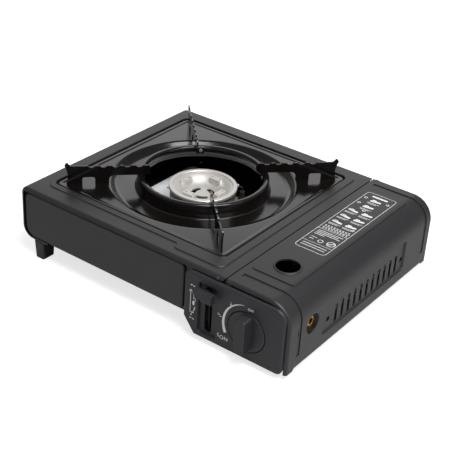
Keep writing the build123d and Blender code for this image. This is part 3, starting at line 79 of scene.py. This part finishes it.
camera_data = bpy.data.cameras.new("camera")
camera_data.lens = camera_lens
camera_data.sensor_width = sensor_width
camera_data.clip_start = 0.01
camera_data.clip_end = 50.0
camera = bpy.data.objects.new("camera", camera_data)
bpy.context.scene.collection.objects.link(camera)
axes = Matrix((camera_right, camera_up, back)).transposed()
camera.matrix_world = Matrix.Translation(camera_place) @ axes.to_4x4()
bpy.context.scene.camera = camera
bpy.context.scene.view_settings.view_transform = "Standard"
print("camera at", tuple(round(c, 3) for c in camera_place), "lens", camera_lens)

# %% [markdown]
# Materials are node trees. Colours are written as sRGB hex values, as a paint chart gives them,
# and turned to linear light by one function. A second small function adds a node with its
# settings and links, so that each material below reads as a short recipe.


# %% Colour and node helpers
def linear(hex_colour):
    """sRGB hex to linear RGBA: c/12.92 below 0.04045, else ((c+0.055)/1.055)^2.4."""
    values = []
    for start in (0, 2, 4):
        c = int(hex_colour.lstrip("#")[start:start + 2], 16) / 255
        values.append(c / 12.92 if c <= 0.04045 else ((c + 0.055) / 1.055) ** 2.4)
    return (*values, 1.0)


def put(tree, kind, settings=None, **links):
    """Add a node, set its fields and sockets, and link its inputs by name."""
    node = tree.nodes.new(kind)
    for key, value in (settings or {}).items():
        if hasattr(node, key):
            setattr(node, key, value)
        else:
            node.inputs[key].default_value = value
    for key, source in links.items():
        tree.links.new(source, node.inputs[key])
    return node


def surface(name, base, roughness, metallic=0.0, **fields):
    """A material with one Principled shader, and its tree emptied of anything else."""
    material = bpy.data.materials.new(name)
    material.use_nodes = True
    tree = material.node_tree
    tree.nodes.clear()
    shader = put(tree, "ShaderNodeBsdfPrincipled")
    shader.inputs["Base Color"].default_value = linear(base)
    shader.inputs["Roughness"].default_value = roughness
    shader.inputs["Metallic"].default_value = metallic
    for key, value in fields.items():
        shader.inputs[key.replace("_", " ")].default_value = value
    output = put(tree, "ShaderNodeOutputMaterial")
    tree.links.new(shader.outputs["BSDF"], output.inputs["Surface"])
    return material, tree, shader


def grain(tree, shader, coords, size_mm, depth_mm, strength=1.0, detail=2.0):
    """Bump from noise whose grains are size_mm across and depth_mm deep."""
    noise = put(tree, "ShaderNodeTexNoise", {"Scale": 1000 / size_mm, "Detail": detail}, Vector=coords)
    bump = put(tree, "ShaderNodeBump", {"Distance": depth_mm * mm, "Strength": strength},
               Height=noise.outputs["Fac"])
    tree.links.new(bump.outputs["Normal"], shader.inputs["Normal"])
    return noise


def worn(tree, shader, coords, size_mm, low, high):
    """Roughness that wanders between low and high over patches of size_mm."""
    cloud = put(tree, "ShaderNodeTexNoise", {"Scale": 1000 / size_mm, "Detail": 3.0}, Vector=coords)
    span = put(tree, "ShaderNodeMapRange", {"To Min": low, "To Max": high}, Value=cloud.outputs["Fac"])
    tree.links.new(span.outputs["Result"], shader.inputs["Roughness"])


def tinted(tree, shader, factor, low, high):
    """Base colour that runs from one hex colour to another with a factor from 0 to 1."""
    mix = put(tree, "ShaderNodeMix", {"data_type": "RGBA"}, Factor=factor)
    ends = {"A": linear(low), "B": linear(high)}
    for socket in mix.inputs:
        if socket.type == "RGBA":
            socket.default_value = ends[socket.name]
    mixed_colour = [socket for socket in mix.outputs if socket.type == "RGBA"][0]
    tree.links.new(mixed_colour, shader.inputs["Base Color"])


def object_coords(tree):
    """Object coordinates: they stay with the piece, in metres."""
    return put(tree, "ShaderNodeTexCoord").outputs["Object"]


# %% [markdown]
# The case is pressed steel under a satin black powder coat. The powder melts to a skin with a
# fine orange peel, so highlights are broad and soft, and the grain shows only close by.

# %% Powder coat
powder_grain_mm = 0.9
powder_patch_mm = 60
powder_coat, tree, shader = surface("powder_coated_steel", "232325", 0.42)
coords = object_coords(tree)
noise = grain(tree, shader, coords, powder_grain_mm, 0.03, 0.6)
tinted(tree, shader, noise.outputs["Fac"], "202022", "262628")
worn(tree, shader, coords, powder_patch_mm, 0.38, 0.46)

# %% [markdown]
# The tray and the pot supports are dipped in glass enamel and fired. Enamel is a glossy glass
# layer over a brown-black ground, with a slight wave from the running of the glaze.

# %% Enamel
glaze_wave_mm = 7.0
enamel, tree, shader = surface("fired_black_enamel", "0e0c0c", 0.17, Specular_IOR_Level=0.36)
shader.inputs["Coat Weight"].default_value = 0.2
shader.inputs["Coat Roughness"].default_value = 0.1
coords = object_coords(tree)
noise = grain(tree, shader, coords, glaze_wave_mm, 0.02, 0.5)
tinted(tree, shader, noise.outputs["Fac"], "0c0a09", "110e0d")

# %% [markdown]
# The control panel, the knob and the lever's thumb piece are moulded in glass-filled nylon,
# spark-eroded to a fine matt grain, which scatters light and hides fingerprints.

# %% Moulded plastic
nylon_grain_mm = 0.7
black_nylon, tree, shader = surface("moulded_black_nylon", "232226", 0.5)
coords = object_coords(tree)
noise = grain(tree, shader, coords, nylon_grain_mm, 0.03, 0.7)
tinted(tree, shader, noise.outputs["Fac"], "212024", "28272b")

# %% [markdown]
# Inside, the sheets are hot-dip galvanised: the zinc freezes in angular patches, the spangle,
# each with a slightly different shine.

# %% Galvanised sheet
spangle_mm = 9.0
galvanised, tree, shader = surface("galvanised_sheet", "e8e9ec", 0.3, 0.1)
coords = object_coords(tree)
cells = put(tree, "ShaderNodeTexVoronoi", {"Scale": 1000 / spangle_mm}, Vector=coords)
patch = put(tree, "ShaderNodeSeparateColor", {}, Color=cells.outputs["Color"])
tinted(tree, shader, patch.outputs["Red"], "f0f1f4", "fafafc")
span = put(tree, "ShaderNodeMapRange", {"To Min": 0.34, "To Max": 0.48}, Value=patch.outputs["Green"])
tree.links.new(span.outputs["Result"], shader.inputs["Roughness"])

# %% [markdown]
# The burner's cap is bead-blasted steel with a nickel shine; the bowl is cast aluminium with a
# coarser skin, and the mixing tube in the well takes dark steel as painted shade. Fasteners are zinc
# plated.

# %% Burner metals
blasted_steel, tree, shader = surface("bead_blasted_steel", "d3d0cc", 0.42, 0.6)
coords = object_coords(tree)
noise = grain(tree, shader, coords, 0.6, 0.02, 0.6)
tinted(tree, shader, noise.outputs["Fac"], "c4c1bd", "dad7d3")

cast_aluminium, tree, shader = surface("cast_aluminium", "8d8c8a", 0.5, 0.8)
coords = object_coords(tree)
noise = grain(tree, shader, coords, 1.4, 0.08, 0.8, 4.0)
tinted(tree, shader, noise.outputs["Fac"], "7b7a78", "a09f9c")

plated_steel, tree, shader = surface("zinc_plated_steel", "b9b9b6", 0.28, 0.95)
coords = object_coords(tree)
noise = grain(tree, shader, coords, 0.8, 0.01, 0.4)
tinted(tree, shader, noise.outputs["Fac"], "acaca9", "c6c6c3")

# %% [markdown]
# Pins and screws are a dull dark grey steel. The tube, pipe, jet holder, stand and heat plate
# inside the well take the same dark grey as painted shade, since the well lies in shade.

# %% Dark steel, with painted shade in the well
dark_steel_and_well_shade, tree, shader = surface("dark_steel_and_well_shade", "3c3b3a", 0.5, 0.5)
coords = object_coords(tree)
noise = grain(tree, shader, coords, 1.0, 0.01, 0.4)
tinted(tree, shader, noise.outputs["Fac"], "333231", "464543")

# %% [markdown]
# The hose inlet and the jet are turned from brass, with a fine grain from the tool. The feet and
# the electrode's lead are matt rubber, and the printed marks are a flat white ink.

# %% Brass, rubber and ceramic
turned_brass, tree, shader = surface("turned_brass", "c8963c", 0.26, 1.0)
coords = object_coords(tree)
noise = grain(tree, shader, coords, 0.5, 0.01, 0.5)
tinted(tree, shader, noise.outputs["Fac"], "b98632", "d8a74a")

soft_rubber, tree, shader = surface("moulded_rubber", "161616", 0.75)
coords = object_coords(tree)
noise = grain(tree, shader, coords, 0.8, 0.03, 0.6)
tinted(tree, shader, noise.outputs["Fac"], "121212", "1c1c1c")

glazed_ceramic, tree, shader = surface("glazed_ceramic", "2e2a26", 0.3)
coords = object_coords(tree)
noise = grain(tree, shader, coords, 2.0, 0.01, 0.3)
tinted(tree, shader, noise.outputs["Fac"], "282420", "36312c")

white_ink, tree, shader = surface("white_screen_ink", "d9d9d9", 0.5)
coords = object_coords(tree)
noise = grain(tree, shader, coords, 0.4, 0.005, 0.3)
tinted(tree, shader, noise.outputs["Fac"], "cfcfcf", "e2e2e2")

finish_of_slot = {
    "painted_case": powder_coat,
    "zinc_sheet": galvanised,
    "black_enamel": enamel,
    "steel_parts": plated_steel,
    "burner_cast": cast_aluminium,
    "black_plastic": black_nylon,
    "foot_rubber": soft_rubber,
    "brass": turned_brass,
    "zinc_cast": cast_aluminium,
    "ceramic": glazed_ceramic,
}
# Painted shade: the base plate, heat shield and lock lever take the black powder coat, the electrode
# black rubber, and the parts in the well dark steel, so that the well and the lever's slot come out dark.
finish_of_node = {
    "burner_cap": blasted_steel, "flame_port_ring": cast_aluminium, "lock_lever": powder_coat,
    "hinge_pins": dark_steel_and_well_shade, "panel_screws": dark_steel_and_well_shade, "base_plate": powder_coat,
    "heat_shield": powder_coat, "mixing_tube": dark_steel_and_well_shade, "electrode": soft_rubber,
    "jet_holder": dark_steel_and_well_shade, "gas_pipe": dark_steel_and_well_shade, "heat_plate": dark_steel_and_well_shade,
    "burner_stand": dark_steel_and_well_shade, "support_rivets": cast_aluminium, "flange_rivet": dark_steel_and_well_shade,
    "ignition_lead": soft_rubber,
}
print("finishes", len(set(finish_of_slot.values()) | set(finish_of_node.values()) | {white_ink}))

# %% [markdown]
# A CAD mesh comes as loose triangles, so its round faces would show facets. Pressed and moulded
# pieces have soft edges too. A merged copy of each node, with flat faces joined, a fine bevel on
# its sharp edges and smooth shading between them, stands for the node.


# %% Softened copies of the CAD pieces
merge_distance = 2e-6
sliver_distance = 1e-6
flat_degrees = 0.4
bevel_degrees = 40
smooth_below_degrees = 35


def softened(name, edge_mm):
    """A copy of a node with doubles merged, flat areas joined, edges bevelled and shaded smooth."""
    mesh = nodes[name].data.copy()
    mesh.name = name + "_soft"
    work = bmesh.new()
    work.from_mesh(mesh)
    bmesh.ops.remove_doubles(work, verts=work.verts, dist=merge_distance)
    bmesh.ops.dissolve_degenerate(work, dist=sliver_distance, edges=work.edges)
    bmesh.ops.dissolve_limit(work, angle_limit=math.radians(flat_degrees), verts=work.verts,
                             edges=work.edges)
    work.to_mesh(mesh)
    work.free()
    mesh.materials.clear()
    mesh.materials.append(finish_of_node.get(name, finish_of_slot[slot_of_node[name]]))
    piece = bpy.data.objects.new(name + "_soft", mesh)
    bpy.context.scene.collection.objects.link(piece)
    if edge_mm > 0:
        bevel = piece.modifiers.new("edges", "BEVEL")
        bevel.width = edge_mm * mm
        bevel.segments = 2
        bevel.limit_method = "ANGLE"
        bevel.angle_limit = math.radians(bevel_degrees)
        bevel.use_clamp_overlap = True
        bevel.miter_outer = "MITER_ARC"
        bevel.harden_normals = False
    mesh.shade_smooth()
    mesh.set_sharp_from_angle(angle=math.radians(smooth_below_degrees))
    weighted = piece.modifiers.new("flat faces stay flat", "WEIGHTED_NORMAL")
    weighted.mode = "FACE_AREA"
    weighted.keep_sharp = True
    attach(piece, body_of_node[name])
    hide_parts(name)


usual_edge_mm = 0.2
edge_of_node = {
    "body_shell": 0.3, "cartridge_lid": 0.3, "front_panel": 0.3, "back_panel": 0.3,
    "ignition_lead": 0.0, "gas_pipe": 0.0, "control_panel": 0.25, "control_knob": 0.25,
}
surfaced = {"drip_tray"}
for name in sorted(set(nodes) - surfaced):
    softened(name, edge_of_node.get(name, usual_edge_mm))
print("softened copies", len(nodes) - len(surfaced))

# %% [markdown]
# A pressed sheet is one smooth surface, so it is best made as a grid: rings round the burner's
# axis, each with its own radius and height, from rounded squares at the tray's edge to circles
# in the dish. A Solidify modifier then gives the sheet its thickness.


# %% Grids to meshes
def grid_mesh(name, points):
    """Mesh of a grid of points, (rings, places, 3): each ring closes on itself, and each cell
    between two rings is one four-cornered face."""
    rows, columns = points.shape[:2]
    index = np.arange(rows * columns).reshape(rows, columns)
    near = index[:-1]
    far = index[1:]
    quads = np.stack([near, np.roll(near, -1, axis=1), np.roll(far, -1, axis=1), far], axis=-1)
    quads = quads.reshape(-1, 4)
    mesh = bpy.data.meshes.new(name)
    mesh.vertices.add(rows * columns)
    mesh.vertices.foreach_set("co", (points.reshape(-1, 3) * mm).astype(np.float32).ravel())
    mesh.loops.add(quads.size)
    mesh.loops.foreach_set("vertex_index", quads.astype(np.int32).ravel())
    mesh.polygons.add(len(quads))
    mesh.polygons.foreach_set("loop_start", np.arange(0, quads.size, 4, dtype=np.int32))
    mesh.update(calc_edges=True)
    mesh.validate()
    return mesh


def placed(name, mesh, material, node, smooth_degrees=40, hide=False):
    """Object for a mesh that rides with a node's body, takes the given material and may stand for it."""
    mesh.materials.append(material)
    mesh.shade_smooth()
    mesh.set_sharp_from_angle(angle=math.radians(smooth_degrees))
    piece = bpy.data.objects.new(name, mesh)
    bpy.context.scene.collection.objects.link(piece)
    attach(piece, body_of_node[node])
    if hide:
        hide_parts(node)
    return piece


def rounded_square(angle, half, corner):
    """Distance from the centre to a rounded square's edge in a direction: to a flat side it is
    half / cos; to a corner's arc it solves |p - c| = corner for the corner's centre c."""
    a = np.abs((angle + math.pi / 4) % (math.pi / 2) - math.pi / 4)
    side = half / np.cos(a)
    centre = half - corner
    along = centre * (np.cos(a) + np.sin(a))
    arc = along + np.sqrt(np.maximum(along ** 2 - 2 * centre ** 2 + corner ** 2, 0))
    return np.where(np.tan(a) * half > centre, arc, side)


# %% [markdown]
# The drip tray catches what boils over. From outside in: a turned-down flange, a rolled bead, a
# flat land, a soft shoulder down to the dish, the dish floor, and the ring that stands up round
# the flame with its rim turned in and down. All of it follows one profile of radius and height.

# %% Drip tray
tray_centre = np.array([-38.2, 11.35])
tray_half = 112.0
tray_corner = 7.0
tray_sheet = 0.8
flange = 3.0
land = 80.5
land_dip = 0.6          # the land lies this much below the bead's top
dish_floor = 73.5
dish_outer = 100.6
dish_inner = 93.9
ring_foot = 72.4
ring_outer = 70.3
ring_inner = 65.9
ring_top = 89.5
skirt = 9.5             # height of the ring's turned-down inside


def rounded_profile(corners, steps=6):
    """Corners (radius, height, rounding) joined by quadratic arcs that start one rounding before
    each corner and end one rounding after it: B = (1-s)^2 a + 2 s (1-s) corner + s^2 b."""
    points = [np.array(corners[0][:2], float)]
    for before, here, after in zip(corners, corners[1:], corners[2:]):
        corner = np.array(here[:2], float)
        to_before = np.array(before[:2]) - corner
        to_after = np.array(after[:2]) - corner
        reach = min(here[2], 0.49 * np.linalg.norm(to_before), 0.49 * np.linalg.norm(to_after))
        a = corner + to_before / np.linalg.norm(to_before) * reach
        b = corner + to_after / np.linalg.norm(to_after) * reach
        s = np.linspace(0, 1, steps)[:, None]
        points.extend((1 - s) ** 2 * a + 2 * s * (1 - s) * corner + s ** 2 * b)
    points.append(np.array(corners[-1][:2], float))
    return np.array(points)


turn = np.linspace(0, 2 * math.pi, 720, endpoint=False)
edge_rings = []
for inset, drop in ((0.0, flange), (0.0, 0.9), (0.25, 0.25), (0.9, 0), (3.2, 0), (4.0, 0.12), (4.8, 0.45),
                    (5.6, land_dip), (7.0, land_dip)):
    edge = rounded_square(turn, tray_half - inset, max(tray_corner - 0.6 * inset, 2.0))
    edge_rings.append((edge, np.full_like(turn, land - drop)))
dish_start = dish_outer + 2.9
dish_profile = rounded_profile([
    (dish_start, land - land_dip, 0),
    (dish_outer, land - land_dip, 3.0),
    (dish_inner, dish_floor, 5.0),
    (ring_foot, dish_floor + 0.3, 2.4),
    (ring_outer, ring_top, 1.4),
    (ring_inner, ring_top, 1.6),
    (ring_inner - 0.2, ring_top - skirt, 0),
])
edge_end = edge_rings[-1]
rings = list(edge_rings)
for share in (0.33, 0.66):
    rings.append((edge_end[0] + (dish_start - edge_end[0]) * share, edge_end[1]))
rings += [(np.full_like(turn, r), np.full_like(turn, z)) for r, z in dish_profile]
radius = np.array([ring[0] for ring in rings])
height = np.array([ring[1] for ring in rings])
tray_points = np.stack([
    tray_centre[0] + radius * np.cos(turn),
    tray_centre[1] + radius * np.sin(turn),
    height,
], axis=-1)
tray_mesh = grid_mesh("drip_tray_enamel", tray_points[::-1])
tray = placed("drip_tray_enamel", tray_mesh, enamel, "drip_tray", 60, hide=True)
wall = tray.modifiers.new("sheet", "SOLIDIFY")
wall.thickness = tray_sheet * mm
wall.offset = -1.0
print("tray rings", len(rings), "faces", len(tray_mesh.polygons))

# %% [markdown]
# Left of the cartridge bay the base plate steps up, so the lower end of the lever's slot looks
# out below it. A dark strip at the step is painted shade: it keeps the floor from showing through the
# slot, so the slot reads dark.

# %% Painted shade: strip below the lever's slot
strip_x = (56.0, 92.0)
strip_y = (-124.5, -94.0)
strip_z = (6.2, 6.8)
plan = ((0, 0), (1, 0), (1, 1), (0, 1))
strip_points = np.array([(strip_x[i], strip_y[j], z) for z in strip_z for i, j in plan])
strip_faces = [(3, 2, 1, 0), (4, 5, 6, 7)]
strip_faces += [(i, (i + 1) % 4, (i + 1) % 4 + 4, i + 4) for i in range(4)]
strip_mesh = bpy.data.meshes.new("slot_shade_strip")
strip_mesh.from_pydata((strip_points * mm).tolist(), [], strip_faces)
placed("slot_shade_strip", strip_mesh, powder_coat, "base_plate")
print("strip faces", len(strip_mesh.polygons))

# %% [markdown]
# The marks are screen printed: a film of ink with no thickness to speak of. Each mark is a strip
# between two outlines, or a filled outline, laid 0.04 mm proud of the face it is printed on.

# %% Printed shapes
ink_film = 0.04
end_roundness = 0.98    # a bar's corner radius as a share of its half width
quarter = np.linspace(0, math.pi / 2, 7)


def rounded_outline(low_x, high_x, low_y, high_y, corner):
    """Anticlockwise outline of a rectangle whose corners are quarter circles."""
    corners = [(high_x, high_y, 0), (low_x, high_y, 1), (low_x, low_y, 2), (high_x, low_y, 3)]
    parts = []
    for x, y, number in corners:
        centre_x = x - corner if x == high_x else x + corner
        centre_y = y - corner if y == high_y else y + corner
        centre = np.array([centre_x, centre_y])
        angle = quarter + number * math.pi / 2
        parts.append(centre + corner * np.stack([np.cos(angle), np.sin(angle)], axis=-1))
    return np.concatenate(parts)


def bar(x, y, length, width, turned=0.0):
    """A filled bar with round ends, centred on a place."""
    half = max(length / 2, width / 2 + 1e-3)
    flat = rounded_outline(-half, half, -width / 2, width / 2, width / 2 * end_roundness)
    c, d = math.cos(math.radians(turned)), math.sin(math.radians(turned))
    return flat @ np.array([[c, d], [-d, c]]) + np.array([x, y]), None


def hoop(x, y, radius, width):
    """A ring: the strip between two circles."""
    angle = np.linspace(0, 2 * math.pi, 40, endpoint=False)
    unit = np.stack([np.cos(angle), np.sin(angle)], axis=-1)
    return unit * (radius + width / 2) + (x, y), unit * (radius - width / 2) + (x, y)


def printed(name, shapes, place, node, closed=True):
    """Mesh of filled outlines and of strips between outlines, put on a face by a place function."""
    points, faces, start = [], [], 0
    for outer, inner in shapes:
        count = len(outer)
        if inner is None:
            points.append(outer)
            faces.append(tuple(range(start, start + count)))
            start += count
            continue
        points.extend([outer, inner])
        last = count if closed else count - 1
        for i in range(last):
            j = (i + 1) % count
            faces.append((start + i, start + j, start + count + j, start + count + i))
        start += 2 * count
    flat = np.concatenate(points)
    mesh = bpy.data.meshes.new(name)
    mesh.from_pydata((place(flat) * mm).tolist(), [], faces)
    mesh.update()
    placed(name, mesh, white_ink, node)


# %% [markdown]
# The lid carries a printed panel of use notes. Here it is a plain frame with rows of bars and
# rings, which say nothing but fill the same place in the same rhythm.

# %% Lid's printed panel
lid_top = 82.3
lid_print_z = lid_top + ink_film
panel_x = (110.0, 145.5)
panel_y = (-33.5, 112.0)
panel_middle = sum(panel_x) / 2
frame_width = 0.55
frame_corner = 4.0


def on_lid(flat):
    """Plan (across, back) to the lid's top face."""
    return np.column_stack([flat[:, 0], flat[:, 1], np.full(len(flat), lid_print_z)])


shapes = [(rounded_outline(*panel_x, *panel_y, frame_corner),
           rounded_outline(panel_x[0] + frame_width, panel_x[1] - frame_width,
                           panel_y[0] + frame_width, panel_y[1] - frame_width,
                           frame_corner - frame_width))]
shapes.append(bar(panel_middle, 105.5, 19, 3.0))
for y, sides in ((96.0, (0,)), (80.5, (0,)), (64.0, (-1, 1)), (48.0, (-1, 1)), (32.0, (-1, 1))):
    for side in sides:
        centre_x = panel_middle + side * 8.2
        shapes.append(bar(centre_x, y, 12.5, 3.2, 8 * (side or 1)))
        shapes.append(bar(centre_x - 2.5, y + 2.2, 5.0, 2.2))
        shapes.append(bar(centre_x, y - 5.0, 14.0, 0.7))
        shapes.append(bar(centre_x - 1.0, y - 6.9, 11.0, 0.7))
for x, y in ((114.5, 98.5), (141.0, 98.5), (114.5, 84.0), (panel_middle, 71.5), (141.0, 27.5)):
    shapes.append(hoop(x, y, 1.5, 0.8))
for row, y in enumerate(np.arange(20.0, 12.0, -2.4)):
    for column in range(9):
        shapes.append(bar(114.0 + column * 3.4 + (row % 2) * 0.8, y, 2.4, 1.1))
for y in (10.4, -18.5):
    shapes.append(bar(panel_middle, y, panel_x[1] - panel_x[0] - 1.2, 0.5))
for row, y in enumerate((6.8, 4.0, 1.2, -1.6)):
    length = (29.0, 25.0, 28.0, 12.0)[row]
    shapes.append(bar(113.5 + length / 2, y, length, 0.9))
shapes.append(hoop(139.0, -10.5, 4.2, 1.0))
shapes.append(bar(139.0, -10.5, 7.6, 1.2, 45))
shapes.append(hoop(127.5, -12.0, 2.6, 0.8))
shapes.append(bar(118.0, -8.5, 7.0, 0.8))
shapes.append(bar(117.0, -12.5, 5.0, 0.8))
for y in (-23.0, -27.0):
    shapes.append(bar(panel_middle, y, 28.0, 0.9))
printed("lid_panel_print", shapes, on_lid, "cartridge_lid")
print("lid print shapes", len(shapes))

# %% [markdown]
# The dial's arc swells from a hairline at OFF to a broad end at ON, so that a hand knows which
# way gives more flame. The words are Blender's own text, turned to mesh before they are placed.

# %% Dial and lever marks
knob_axis = np.array([128.6, 38.6])
panel_face = -133.0
dial_face_y = panel_face - ink_film
capital_share = 0.7     # a capital's height as a share of the font's size


def on_front(flat):
    """Front view (across, up) to the control panel's face."""
    return np.column_stack([flat[:, 0], np.full(len(flat), dial_face_y), flat[:, 1]])


arc_degrees = (100, 207)
arc_steps = 48
arc_radius = 27.6
hairline = 0.15         # half the arc's width at its thin end
swelling = 1.55         # what its wide end has more than that
sweep_angle = np.radians(np.linspace(*arc_degrees, arc_steps))
half_width = hairline + swelling * np.linspace(0, 1, arc_steps) ** 0.8
outwards = np.stack([np.cos(sweep_angle), np.sin(sweep_angle)], axis=-1)
arc_out = knob_axis + (arc_radius + half_width)[:, None] * outwards
arc_in = knob_axis + (arc_radius - half_width)[:, None] * outwards
printed("dial_arc_print", [(arc_out, arc_in)], on_front, "control_panel", closed=False)

marks = [bar(108.6, 60.0, 1.6, 1.6), bar(108.6, 62.0, 0.9, 0.9)]
marks += [bar(95.4, 43.4, 3.0, 1.0, -25), bar(97.6, 41.6, 2.0, 1.0, 20)]
marks += [bar(95.6, 20.6, 2.6, 1.0, 60), bar(96.2, 18.6, 2.0, 1.0, 110)]
lever_marks_x = 63.5
marks += [bar(lever_marks_x - 1.6, 61.8, 2.2, 1.2, 15), bar(lever_marks_x + 1.4, 61.4, 2.4, 1.2, -15)]
marks += [bar(lever_marks_x - 1.6, 24.1, 2.2, 1.2, 10), bar(lever_marks_x + 1.4, 23.7, 2.4, 1.2, -20)]
# arrow
marks += [bar(lever_marks_x - 2.4, 43.0, 26.0, 0.7, 90), bar(lever_marks_x - 3.4, 55.0, 3.4, 0.7, 60),
          bar(lever_marks_x - 1.4, 55.0, 3.4, 0.7, 120)]
marks += [bar(lever_marks_x + 1.6, 50.0, 6.5, 1.1, 90), bar(lever_marks_x + 3.2, 46.0, 4.0, 0.8, 90),
          bar(lever_marks_x + 1.4, 42.0, 5.0, 2.6, 90), bar(lever_marks_x + 2.6, 35.5, 5.5, 1.2, 75),
          bar(lever_marks_x + 0.6, 31.0, 3.4, 1.6, 20), bar(lever_marks_x - 1.0, 28.0, 2.2, 1.2, 50)]
printed("dial_marks_print", marks, on_front, "control_panel")


def word(name, text, x, z, cap_height):
    """A word printed on the front face: text to mesh, scaled to its capitals' height."""
    curve = bpy.data.curves.new(name, "FONT")
    curve.body = text
    curve.size = cap_height / capital_share
    curve.align_x = "CENTER"
    curve.align_y = "CENTER"
    curve.space_character = 1.1
    curve.offset = 0.08
    scratch = bpy.data.objects.new(name + "_text", curve)
    flat_mesh = bpy.data.meshes.new_from_object(scratch)
    bpy.data.objects.remove(scratch)
    flat_mesh.name = name
    count = len(flat_mesh.vertices)
    co = np.empty(count * 3, np.float32)
    flat_mesh.vertices.foreach_get("co", co)
    flat = co.reshape(-1, 3)[:, :2].astype(float) + np.array([x, z])
    flat_mesh.vertices.foreach_set("co", (on_front(flat) * mm).astype(np.float32).ravel())
    flat_mesh.materials.clear()
    placed(name, flat_mesh, white_ink, "control_panel")


word("off_print", "OFF", 131.3, 63.6, 2.5)
word("on_print", "ON", 102.6, 18.4, 4.2)
print("dial and lever marks", len(marks))

# %% [markdown]
# The stage is a white table. It glows a little to the camera alone, so that it reads as white
# paper and still takes the object's shadow.

# %% Floor
floor_half = 6.0
floor_drop = 0.0002
floor_glow = 0.72
floor_material, tree, shader = surface("white_table", "c4c4c4", 0.7)
seen = put(tree, "ShaderNodeLightPath")
glow = put(tree, "ShaderNodeMath", {"operation": "MULTIPLY"})
tree.links.new(seen.outputs["Is Camera Ray"], glow.inputs[0])
glow.inputs[1].default_value = floor_glow
shader.inputs["Emission Color"].default_value = (1, 1, 1, 1)
tree.links.new(glow.outputs[0], shader.inputs["Emission Strength"])
floor_mesh = bpy.data.meshes.new("floor")
floor_plan = ((-1, -1), (1, -1), (1, 1), (-1, 1))
floor_corners = [(x * floor_half, y * floor_half, -floor_drop) for x, y in floor_plan]
floor_mesh.from_pydata(floor_corners, [], [(0, 1, 2, 3)])
floor_mesh.materials.append(floor_material)
floor = bpy.data.objects.new("floor", floor_mesh)
bpy.context.scene.collection.objects.link(floor)
print("floor", 2 * floor_half, "m square")

# %% [markdown]
# The world is white to the camera and dimmer to the object, which it lights softly from all
# round. Three soft boxes do the rest: one above, one behind on the left, one on the right.

# %% World and lamps
ambient_strength = 0.33
world = bpy.data.worlds.new("studio")
bpy.context.scene.world = world
world.use_nodes = True
world_tree = world.node_tree
world_tree.nodes.clear()
paths = put(world_tree, "ShaderNodeLightPath")
white_for = put(world_tree, "ShaderNodeMath", {"operation": "MAXIMUM"})
world_tree.links.new(paths.outputs["Is Camera Ray"], white_for.inputs[0])
world_tree.links.new(paths.outputs["Is Transmission Ray"], white_for.inputs[1])
ambient = put(world_tree, "ShaderNodeBackground", {"Strength": ambient_strength})
backdrop = put(world_tree, "ShaderNodeBackground", {"Strength": 1.0})
mixed = put(world_tree, "ShaderNodeMixShader")
world_tree.links.new(white_for.outputs[0], mixed.inputs[0])
world_tree.links.new(ambient.outputs[0], mixed.inputs[1])
world_tree.links.new(backdrop.outputs[0], mixed.inputs[2])
world_out = put(world_tree, "ShaderNodeOutputWorld")
world_tree.links.new(mixed.outputs[0], world_out.inputs["Surface"])


def softbox(name, place, target, width, height, power):
    """A rectangular area lamp at a place, aimed at a target, in metres and watts."""
    lamp_data = bpy.data.lights.new(name, "AREA")
    lamp_data.shape = "RECTANGLE"
    lamp_data.size = width
    lamp_data.size_y = height
    lamp_data.energy = power
    lamp = bpy.data.objects.new(name, lamp_data)
    bpy.context.scene.collection.objects.link(lamp)
    direction = Vector(target) - Vector(place)
    turned = direction.to_track_quat("-Z", "Y").to_matrix().to_4x4()
    lamp.matrix_world = Matrix.Translation(place) @ turned


middle = (0.0, 0.0, 0.05)
softbox("key", (0.62, -0.25, 1.35), middle, 0.9, 0.9, 24)
softbox("back_left", (-0.9, 1.3, 0.75), middle, 1.4, 0.7, 3.5)
softbox("right_side", (1.5, 0.0, 0.8), middle, 1.0, 0.8, 3.5)
print("lamps", [lamp.name for lamp in bpy.data.lights])
